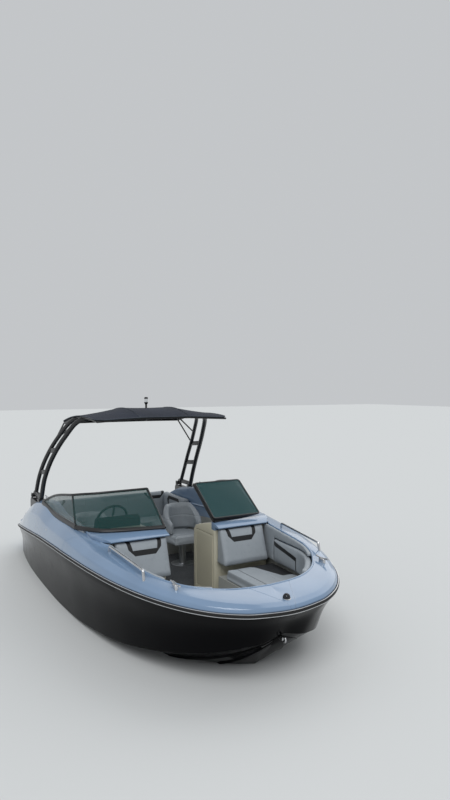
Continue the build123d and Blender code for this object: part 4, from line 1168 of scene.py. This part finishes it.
@dataclass
class CockpitSeats:
    """Bucket seats, stern bench and sun pad."""

    seat_x: float = -0.400
    seat_y: float = 0.600
    seat_z: float = 0.400
    wing_x: float = -0.850

    def bucket(self, name: str, sign: int) -> None:
        """Make one bucket seat: a deep cushion and a wrap round back."""
        x, y, z = self.seat_x, sign * self.seat_y, self.seat_z
        base = [(x + 0.235 * math.cos(a), y + 0.235 * math.sin(a), z + 0.004)
                for a in (math.radians(90 + 10 * k) for k in range(19))]
        base += [(x + 0.235, y - 0.205, z + 0.004), (x + 0.235, y + 0.205, z + 0.004)]
        form = Form().prism(rounded(base, 0.02, 3, closed=True), (0, 0, 0.098), 0.030, 3)
        Pad(f"{name}_cushion", Finish.VINYL, (name,), name, seams=((0, x + 0.120, False),)).fill_up(form, z + 0.03)
        sections = []
        for k in range(25):
            angle = math.radians(58 + 244 * k / 24)
            side = abs(k - 12) / 12
            top = z + 0.465 - 0.21 * max(0.0, side - 0.45) / 0.55
            out, inner = 0.240, 0.188
            c, s = math.cos(angle), math.sin(angle)
            rows = [(inner + 0.004, z + 0.118), (out, z + 0.118), (out + 0.002, (z + top) / 2 + 0.05),
                    (out, top - 0.02), (out - 0.018, top), (inner + 0.012, top), (inner - 0.004, top - 0.03),
                    (inner - 0.006, (z + top) / 2 + 0.05)]
            sections.append([(x + r * c, y + r * s, h) for r, h in rows])
        form = Form().loft(sections)
        Pad(f"{name}_back", Finish.VINYL, (), name, swell=0.010, seams=((2, z + 0.300, False),)).fill_up(form)

    def bench(self) -> None:
        """Make the stern bench's cushions, backrest and bolsters."""
        low, thick = 0.402, 0.088
        for name, outline, seams in (
            ("bench_cushion_aft", [(-1.590, -0.925), (-1.235, -0.925), (-1.235, 0.925), (-1.590, 0.925)],
             ((1, 0.310, True), (0, -1.310, False))),
            ("bench_cushion_wing", [(-1.215, 0.482), (self.wing_x - 0.008, 0.482), (self.wing_x - 0.008, 0.925),
                                    (-1.215, 0.925)], ((1, 0.560, False),)),
        ):
            plan = rounded([(x, y, low) for x, y in outline], 0.03, 4, closed=True)
            form = Form().prism(plan, (0, 0, thick), 0.022, 3)
            Pad(name, Finish.VINYL, ("bench_cushions",), seams=seams).fill_up(form, low + 0.02)
        profile = [(-1.709, 0.412), (-1.612, 0.412), (-1.612, 0.505), (-1.650, 0.840), (-1.709, 0.840)]
        form = Form().beam(profile, -0.925, 1.85, 0.020)
        Pad("bench_backrest_pad", Finish.STERN_BACK, ("bench_backrest",), seams=((1, 0.310, True),)).fill_up(form)
        for side, sign, fore in (("port", 1, self.wing_x), ("starboard", -1, -1.235)):
            y0, y1 = sorted((sign * 0.862, sign * 0.930))
            form = Form().box((-1.588, y0, 0.516), (fore - 0.008, y1, 0.838), 0.022)
            finish = Finish.STERN_SIDE if sign > 0 else Finish.VINYL
            Pad(f"bench_bolster_{side}", finish, ("bench_bolsters",), swell=0.008).fill_up(form)

    def sun_pad(self) -> None:
        """Make the pad on the engine hatch."""
        profile = [(-1.812, 0.703), (-2.282, 0.5325), (-2.292, 0.566), (-1.824, 0.742)]
        form = Form().beam(profile, -0.550, 1.10, 0.016)
        Pad("sun_pad_cover", Finish.VINYL, ("sun_pad",), "engine_hatch", swell=0.008,
            seams=((1, 0.185, True), (1, 0.0, False))).fill_up(form)

    def build(self) -> None:
        """Make every soft piece of the cockpit."""
        self.bucket("helm_seat", -1)
        self.bucket("companion_seat", 1)
        self.bench()
        self.sun_pad()


# Windscreen and gate


@dataclass
class Windscreen:
    """Curved glass in a black frame on both sides, and the gate between."""

    gate: dict
    frame_r: float = 0.013
    sill_r: float = 0.021
    trim_r: float = 0.0028
    gate_width: float = 0.572
    gate_tall: float = 0.545
    gate_r: float = 0.010
    gate_open: float = 180.0
    pivot_r: float = 0.011
    feet: tuple = ((1.022, 0.282, 0.953), (0.880, 0.855, 0.953), (0.740, 0.985, 0.953), (0.544, 1.060, 0.945),
                   (-0.150, 1.092, 0.950), (-0.697, 1.099, 1.000))
    heads: tuple = ((0.548, 0.282, 1.282), (0.449, 0.798, 1.262), (0.325, 0.925, 1.244), (0.208, 0.997, 1.225),
                    (-0.240, 1.050, 1.158), (-0.690, 1.099, 1.022))

    def pane(self, low: Sequence[Point], high: Sequence[Point], bulge: float) -> Form:
        """Pane between two edges, bulging out by a little in its middle."""
        low, high = curve(low, 8), curve(high, 8)
        rows, hand = [], math.copysign(1, low[0].y)
        for a, b, beside, before in zip(low, high, low[1:] + low[-1:], low[:1] + low):
            face = (beside - before).cross(b - a).normalized() * hand
            rows.append([a.lerp(b, t / 6) + face * bulge * 4 * (t / 6) * (1 - t / 6) for t in range(7)])
        return Form().loft(rows, closed=False)

    def frame(self, feet: Sequence[Vector], heads: Sequence[Vector]) -> tuple[Form, Form]:
        """Frame bars, the deep sill under the wing, and the bright line on the sill."""
        top = curve(heads[:4], 6) + curve(heads[3:], 8)[1:]
        form = Form()
        form.tube(top, self.frame_r, square=0.7)
        back = (heads[0] - feet[0]).normalized()
        band = [p + back * 0.009 for p in curve(feet[:4], 6)]
        form.tube(band, self.frame_r + 0.001, squash=1.6, up=back, square=0.6, segments=16)
        lean = (heads[4] - feet[4]).normalized()
        sill = [p + lean * 0.008 for p in curve(feet[3:], 8)]
        form.tube(sill, self.frame_r + 0.002, squash=1.9, up=lean, square=0.6, segments=16)
        for i, radius in ((0, self.frame_r), (3, self.frame_r - 0.002), (5, self.frame_r)):
            form.tube([feet[i], heads[i]], radius, square=0.7)
        outward = Vector((0, math.copysign(1, feet[0].y), 0))
        raised = [p + lean * (self.sill_r + 0.008) + outward * 0.006 for p in sill[:-4]]
        return form, Form().tube(raised, self.trim_r, segments=8)

    def build(self) -> None:
        """Make the frames, the glass and the gate."""
        for side, flip in (("port", list), ("starboard", mirrored)):
            feet, heads = flip([Vector(p) for p in self.feet]), flip([Vector(p) for p in self.heads])
            frame, trim = self.frame(feet, heads)
            first = side == "port"
            finished(frame.made(f"windscreen_frame_{side}"), Finish.POWDER, "hull",
                     ["windscreen_frame"] if first else [], 50)
            finished(trim.made(f"windscreen_trim_{side}"), Finish.STEEL, "hull")
            for name, piece in (("front", self.pane(feet[:4], heads[:4], 0.012)),
                                ("wing", self.pane(feet[3:], heads[3:], 0.0))):
                piece = piece.made(f"windscreen_{name}_{side}")
                modify(piece, "SOLIDIFY", thickness=0.006, offset=0.0)
                finished(settle(piece), Finish.GLASS, "hull",
                         ["windscreen_glass"] if first and name == "front" else [], 40)
        self.build_gate()

    def build_gate(self) -> None:
        """Make the gate, open in front of the port glass."""
        foot, axis = Vector(self.gate["pos_m"]), Vector(self.gate["axis"])
        run = -axis
        across = Matrix.Rotation(math.radians(self.gate_open), 3, run) @ Vector((0, -1, 0))
        corners = [foot + across * a + run * u for a, u in
                   ((0, 0), (self.gate_width, 0), (self.gate_width, self.gate_tall), (0, self.gate_tall))]
        frame = Form().tube(rounded(corners, 0.03, 5, closed=True), self.gate_r, closed=True, square=0.75)
        for part in (0.16, 0.84):
            middle = foot + run * self.gate_tall * part
            frame.rod(middle - run * 0.030, middle + run * 0.030, self.pivot_r, bevel=0.002)
        finished(frame.made("gate_frame_bar"), Finish.POWDER, "windscreen_gate", ["gate_frame"], 50)
        pane = Form().prism(rounded(corners, 0.03, 5, closed=True), across.cross(run) * 0.005).made("gate_pane")
        # the pane's near opaque teal is partly a painted reflection
        finished(pane, Finish.GATE_GLASS_WITH_PAINTED_REFLECTION, "windscreen_gate", ["gate_glass"])


# Tower and canopy


@dataclass
class Tower:
    """Folding tow tower, sun canopy and all round light."""

    # x of the aft hoop, x of the fore hoop, y and z, from the port foot up to near the middle
    hoops: tuple = ((-1.359, -1.047, 1.038, 1.000), (-1.237, -0.953, 1.032, 1.200), (-1.087, -0.814, 1.010, 1.400),
                    (-0.892, -0.632, 0.971, 1.600), (-0.668, -0.419, 0.908, 1.800), (-0.402, -0.175, 0.803, 2.000),
                    (-0.318, -0.098, 0.690, 2.032), (-0.280, -0.060, 0.520, 2.054), (-0.266, -0.046, 0.250, 2.076),
                    (-0.262, -0.042, 0.0, 2.078))
    tube_r: tuple = (0.025, 0.028)
    rungs: tuple = (1.310, 1.600)
    plate: tuple = (0.018, 0.029)
    pivot: tuple = (-1.440, 1.040, 0.975)
    base: tuple = (-1.030, 0.985, 0.055)
    # y, fore edge, crest and aft edge of the canopy's top
    edges: tuple = ((-0.815, 2.030, 2.058, 1.946), (-0.300, 2.052, 2.142, 1.952), (0.300, 2.052, 2.142, 1.952),
                    (0.815, 2.030, 2.058, 1.946))
    spans: tuple = (0.420, -0.150, -0.950)
    corner: float = 0.110

    def leg(self, column: int) -> list[Vector]:
        """Points of one port leg: column 0 is the aft hoop, 1 the fore hoop."""
        return [Vector((row[column], row[2], row[3])) for row in self.hoops]

    def on_leg(self, column: int, height: float) -> Vector:
        """Point on a port leg at a height."""
        route = curve(self.leg(column), 8)
        low = max(p.z for p in route if p.z <= height)
        a, b = next((p, q) for p, q in zip(route, route[1:]) if p.z == low)
        return a.lerp(b, (height - a.z) / (b.z - a.z))

    def frame(self) -> None:
        """Make the hoops, their plates, the base plates and the tow pin."""
        form = Form()
        for column, radius in enumerate(self.tube_r):
            half = curve(self.leg(column), 6)
            form.tube(half + mirrored(half[:-1])[::-1], radius, segments=20)
        thick, tall = self.plate
        for height in self.rungs:
            aft, fore = self.on_leg(0, height), self.on_leg(1, height + 0.030)
            up = Vector((0, 1, 0)).cross(aft - fore).normalized()
            out = Vector((0, thick / 2, 0))
            outline = [p - out for p in (aft - up * tall, fore - up * tall, fore + up * tall, aft + up * tall)]
            form.prism(outline, out * 2, 0.004, 2)
            form.prism(mirrored(outline), out * -2, 0.004, 2)
            for end, toward in ((aft, fore), (fore, aft)):
                bolt = end.lerp(toward, 0.20)
                face = bolt.y + thick / 2
                for sign in (1, -1):
                    form.rod((bolt.x, sign * face, bolt.z), (bolt.x, sign * (face + 0.004), bolt.z), 0.008,
                             bevel=0.0015)
        x, y, z = self.pivot
        fore_x, low, high = self.base
        profile = [(x, low), (fore_x, low), (fore_x, low + high * 0.7), (fore_x - 0.030, low + high),
                   (x + 0.040, low + high), (x, low + high * 0.5)]
        for sign in (1, -1):
            form.beam(profile, sign * y - 0.015, 0.030, 0.004, 2)
            form.turn([(0.0081, -0.024), (0.0270, -0.024), (0.0270, 0.024), (0.0081, 0.024)], (x, sign * y, z),
                      (0, 1, 0), 32)
        top, fore = self.leg(0)[-1], self.leg(1)[-1]
        for side in (-0.300, 0.0, 0.300):
            form.rod((top.x, side, top.z), (fore.x, side, top.z), 0.014)
        form.turn([(0, 0), (0.012, 0), (0.012, 0.068), (0.021, 0.071), (0.022, 0.078), (0.020, 0.081), (0, 0.082)],
                  (top.x, 0, top.z), (-1, 0, 0), 28)
        finished(form.weld().made("tower_hoops"), Finish.POWDER, "tow_tower", ["tower"], 50)

    def canopy_top(self, x: float, y: float) -> float:
        """Height of the canopy, which sags a little between its bows."""
        fore_x, mid_x, aft_x = self.spans
        a, b = next((a, b) for a, b in zip(self.edges, self.edges[1:]) if y <= b[0] + 1e-9)
        part = (y - a[0]) / (b[0] - a[0])
        fore, crest, aft = (low + (high - low) * part for low, high in zip(a[1:], b[1:]))
        arch = (fore * (x - mid_x) * (x - aft_x) / ((fore_x - mid_x) * (fore_x - aft_x))
                + crest * (x - fore_x) * (x - aft_x) / ((mid_x - fore_x) * (mid_x - aft_x))
                + aft * (x - fore_x) * (x - mid_x) / ((aft_x - fore_x) * (aft_x - mid_x)))
        return arch - 0.005 - 0.007 * math.sin(math.pi * part) * math.sin(math.pi * (x - aft_x) / (fore_x - aft_x))

    def across(self, y: float) -> list[float]:
        """Places from the fore to the aft edge of the canopy, which draw in at its round corners."""
        fore_x, _, aft_x = self.spans
        past = max(0.0, abs(y) - (self.edges[-1][0] - self.corner))
        reach = (fore_x - aft_x) / 2 - self.corner + math.sqrt(max(0.0, self.corner**2 - past**2))
        return [(fore_x + aft_x) / 2 + reach * (1 - j / 20) for j in range(41)]

    def canopy(self) -> None:
        """Make the canopy: a sheet sewn of three panels, with flat seams and a hem."""
        half, middle = self.edges[-1][0], (self.spans[0] + self.spans[-1]) / 2
        ys = [half * math.sin(math.radians(90 * (k / 24 - 1))) for k in range(49)]
        rows = [[(x, y) for x in self.across(y)] for y in ys]
        sections = [[(x, y, self.canopy_top(x, y)) for x, y in row] for row in rows]
        sheet = Form().loft(sections, closed=False).made("canopy_sheet")
        modify(sheet, "SOLIDIFY", thickness=0.003, offset=0.0)
        finished(settle(sheet), Finish.CANVAS, "tow_tower", ["canopy"], 60)
        hem, scale = Form(), 1 - 0.006 / half
        loop = rows[-1] + [row[-1] for row in rows[-2:0:-1]] + rows[0][::-1] + [row[0] for row in rows[1:-1]]
        loop = [(middle + (x - middle) * scale, y * scale) for x, y in loop]
        hem.tube([(x, y, self.canopy_top(x, y)) for x, y in loop], 0.0065, closed=True, segments=10)
        for y in (row[0] for row in self.edges[1:-1]):
            for off in (-0.006, 0.006):
                seam = [(x, y + off, self.canopy_top(x, y) + 0.0022) for x in self.across(y)]
                hem.tube(seam, 0.0026, segments=8)
        binding = finished(hem.made("canopy_hem"), Finish.HEM, "tow_tower")

    def light(self) -> None:
        """Make the all round light on its stem."""
        top = self.leg(1)[-1]
        x, z = top.x - 0.114, top.z + 0.010
        stem = Form().turn([(0, 0), (0.020, 0), (0.020, 0.006), (0.012, 0.012), (0.011, 0.086), (0.018, 0.096),
                            (0.022, 0.100), (0.022, 0.114), (0, 0.114)], (x, 0, z), (0, 0, 1))
        stem.turn([(0, 0.154), (0.0215, 0.154), (0.0218, 0.168), (0.016, 0.174), (0, 0.1745)], (x, 0, z), (0, 0, 1))
        finished(stem.weld().made("light_stem"), Finish.PLASTIC, "tow_tower", ["nav_light"])
        lens = Form().turn([(0, 0.1135), (0.0185, 0.1135), (0.0195, 0.1545), (0, 0.1545)], (x, 0, z), (0, 0, 1))
        finished(lens.weld().made("light_lens"), Finish.LENS, "tow_tower")

    def build(self) -> None:
        """Make the tower and all that rides on it."""
        self.frame()
        self.canopy()
        self.light()


# Helm and fittings


@dataclass
class Helm:
    """Steering wheel, gauges and throttle."""

    centre: tuple = (0.100, -0.520, 0.900)
    tilt: float = 25.0
    rim_r: float = 0.170
    gauge_face: tuple = (0.243, 0.905)
    gauge_y: tuple = (-0.610, -0.430)
    gauge_r: float = 0.040

    def gauges(self) -> None:
        """Make two round gauges with plain tick marks on the dash."""
        out, rise, side = Vector((-0.934, 0, 0.356)), Vector((0.356, 0, 0.934)), Vector((0, -1, 0))
        rims, faces, marks = Form(), Form(), Form()
        for y in self.gauge_y:
            centre, r = Vector((self.gauge_face[0], y, self.gauge_face[1])), self.gauge_r
            rims.turn([(r, -0.004), (r + 0.004, -0.004), (r + 0.004, 0.003), (r + 0.001, 0.006),
                       (r - 0.002, 0.003)], centre, out, 40)
            faces.turn([(0, -0.003), (r, -0.003), (r, 0.0015), (0, 0.0015)], centre, out, 40)
            for k in range(11):
                way = bearing(side, rise, -35 + 25 * k)
                marks.rod(centre + out * 0.0015 + way * r * (0.74 if k % 2 else 0.66),
                          centre + out * 0.0015 + way * r * 0.88, 0.0009, segments=6)
            needle = bearing(side, rise, 200) * r * 0.72
            marks.rod(centre + out * 0.003, centre + out * 0.003 + needle, 0.0013, 0.0006, segments=8)
        finished(rims.made("gauge_rims"), Finish.STEEL, "hull")
        finished(faces.weld().made("gauge_faces"), Finish.DIAL, "hull")
        finished(marks.made("gauge_marks"), Finish.TICKS, "hull")

    def build(self) -> None:
        """Make the wheel and the throttle."""
        out = Vector((-math.cos(math.radians(self.tilt)), 0, math.sin(math.radians(self.tilt))))
        side = Vector((0, -1, 0))
        up = out.cross(side)
        centre = Vector(self.centre)
        rim = [centre + bearing(side, up, 5 * k) * self.rim_r for k in range(72)]
        form = Form().tube(rim, 0.0135, closed=True, segments=14)
        finished(form.made("wheel_rim"), Finish.BLACK_VINYL, "steering_wheel", ["steering_wheel"])
        spokes = Form()
        for angle in (90, 210, 330):
            reach = bearing(side, up, angle)
            path = [centre + reach * r - out * d for r, d in ((0.020, 0.0), (0.080, 0.010), (0.165, 0.0))]
            spokes.tube(curve(path, 6), 0.013, squash=0.35, up=out, square=0.8)
        spokes.turn([(0, -0.020), (0.034, -0.020), (0.038, -0.012), (0.038, 0.010), (0.030, 0.019), (0, 0.021)],
                    centre, out)
        finished(spokes.made("wheel_spokes"), Finish.ALLOY, "steering_wheel")
        self.gauges()
        box = Form().box((0.097, -0.948, 0.697), (0.223, -0.902, 0.843), 0.012)
        finished(box.made("throttle_box"), Finish.PLASTIC, "hull", ["throttle"])
        arm = curve([(0.165, -0.915, 0.800), (0.152, -0.892, 0.890), (0.150, -0.872, 0.908)], 6)
        lever = Form().tube(arm, 0.008).tube([(0.150, -0.886, 0.909), (0.150, -0.850, 0.910)], 0.012)
        finished(lever.made("throttle_lever"), Finish.ALLOY, "hull")


@dataclass
class Fittings:
    """Grab rails, cleats, bow light, carpets."""

    bow_light: tuple = (2.735, 0, 0.680)
    pile: float = 0.0055

    def metalwork(self) -> None:
        """Make the grab rails, the cleats and the caps on the flanks."""
        rail = Form().tube(rounded([(1.290, 0.962, 0.820), (1.300, 0.962, 0.915), (1.990, 0.912, 0.868),
                                    (2.010, 0.912, 0.770)], 0.025, 6), 0.012, segments=16).mirror()
        finished(rail.made("deck_grab_rails"), Finish.STEEL, "hull", ["grab_rails"])
        cleats = Form()
        for x, y, z in ((2.255, 0.745, 0.700), (-2.180, 0.985, 0.470), (-0.700, 1.050, 0.960)):
            cleats.box((x - 0.036, y - 0.016, z), (x + 0.036, y + 0.016, z + 0.105), 0.010)
            horns = [(x - 0.085, y, z + 0.110), (x, y, z + 0.103), (x + 0.085, y, z + 0.110)]
            cleats.tube(curve(horns, 6), 0.008)
        finished(cleats.mirror().made("mooring_cleats"), Finish.STEEL, "hull", ["cleats"])
        cap = Form().turn([(0, -0.012), (0.016, -0.012), (0.016, 0.003), (0.013, 0.006), (0, 0.007)],
                          (-0.134, 1.192, 0.807), (0, 0.94, 0.34), 28).weld()
        finished(cap.mirror().made("flank_caps"), Finish.STEEL, "hull")

    def light(self) -> None:
        """Make the bow light."""
        base = Form().turn([(0, 0), (0.036, 0), (0.036, 0.022), (0.0345, 0.027), (0.0315, 0.029), (0, 0.029)],
                           self.bow_light, (0, 0, 1), 40).weld()
        finished(base.made("bow_light_rim"), Finish.STEEL, "hull", ["bow_light"])
        dome = Form().turn([(0, 0.027), (0.031, 0.027), (0.0308, 0.038), (0.028, 0.050), (0.020, 0.061),
                            (0.009, 0.0665), (0, 0.0675)], self.bow_light, (0, 0, 1), 40).weld()
        finished(dome.made("bow_light_dome"), Finish.DARK_LENS, "hull")

    def carpets(self) -> None:
        """Make the cockpit's carpet and the platform's pad."""
        mat = [(-1.245, -0.945), (0.545, -0.945), (0.545, -0.275), (1.905, -0.275), (1.905, 0.275), (0.545, 0.275),
               (0.545, 0.945), (-0.845, 0.945), (-0.845, 0.465), (-1.245, 0.465)]
        carpet = Form().slab(mat, 0.1005, self.pile).made("cockpit_carpet")
        finished(carpet, Finish.CARPET, "hull", ["floor_mat"])
        pad = rounded([(-2.480, -0.905, 0), (-2.480, 0.905, 0), (-2.915, 0.905, 0), (-2.915, -0.285, 0),
                       (-2.565, -0.285, 0), (-2.565, -0.645, 0), (-2.915, -0.645, 0), (-2.915, -0.905, 0)], 0.02, 3,
                      closed=True)
        finished(Form().slab(pad, 0.3705, self.pile).made("platform_pad"), Finish.CARPET, "hull",
                 ["platform_mat"])

    def build(self) -> None:
        """Make the small pieces."""
        self.metalwork()
        self.light()
        self.carpets()


# Studio


@dataclass
class Studio:
    """Plain pale floor at the waterline, soft light and the photograph's camera."""

    eye: tuple = (6.595, -2.773, 2.371)
    heading: tuple = (-0.8677, 0.4971)
    pitch: float = 1.143
    lens: float = 27.06

    def floor(self) -> None:
        """Make the floor, which looks near white to the camera and keeps the boat's shadow."""
        form = Form()
        bmesh.ops.create_grid(form.bm, x_segments=1, y_segments=1, size=60)
        floor = form.made("floor")
        s = Shader("pale_floor")
        s.dress({"Specular IOR Level": 0.0}, base=srgb(206, 208, 208), roughness=0.9)
        floor.data.materials.append(s.material)

    def world(self) -> None:
        """Pale even surroundings."""
        world = bpy.data.worlds.new("studio")
        bpy.context.scene.world = world
        world.use_nodes = True
        sky = world.node_tree.nodes["Background"]
        sky.inputs["Color"].default_value = srgb(226, 229, 232)
        sky.inputs["Strength"].default_value = 0.72

    def aimed(self, data: bpy.types.ID, aim: Point) -> Piece:
        """Add a lamp or camera that looks along a direction."""
        thing = bpy.data.objects.new(data.name, data)
        thing.rotation_mode = "QUATERNION"
        thing.rotation_quaternion = Vector(aim).to_track_quat("-Z", "Y")
        bpy.context.scene.collection.objects.link(thing)
        return thing

    def lamp(self, name: str, aim: Point, strength: float, spread: float) -> None:
        """Add a broad distant lamp that shines along a direction."""
        data = bpy.data.lights.new(name, "SUN")
        data.energy, data.angle = strength, math.radians(spread)
        self.aimed(data, aim)

    def camera(self) -> None:
        """Stand the camera where the photograph was taken."""
        data = bpy.data.cameras.new("camera")
        data.lens, data.sensor_width = self.lens, 36.0
        data.clip_start, data.clip_end = 0.1, 200
        camera = self.aimed(data, (*self.heading, -math.tan(math.radians(self.pitch))))
        camera.location = self.eye
        bpy.context.scene.camera = camera

    def build(self) -> None:
        """Set the stage."""
        self.floor()
        self.world()
        self.lamp("key", (-0.55, 0.35, -0.80), 1.5, 40)
        self.lamp("fill", (0.35, -0.70, -0.62), 0.7, 60)
        self.camera()
        bpy.context.scene.view_settings.view_transform = "Standard"


def main() -> None:
    """Build the boat round its frame, one sub-assembly after another."""
    logging.basicConfig(level=logging.INFO, format="%(name)s: %(message)s")
    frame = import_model()
    gate = next(j for j in frame["joints"] if j["name"] == "gate_hinge")
    assemblies = (Studio(), Hull(Lines()), KeptNodes(frame), BowSeats(), CockpitSeats(), Windscreen(gate), Tower(),
                  Helm(), Fittings())
    for assembly in assemblies:
        assembly.build()
        log.info("built %s", type(assembly).__name__)


if __name__ == "__main__":
    main()
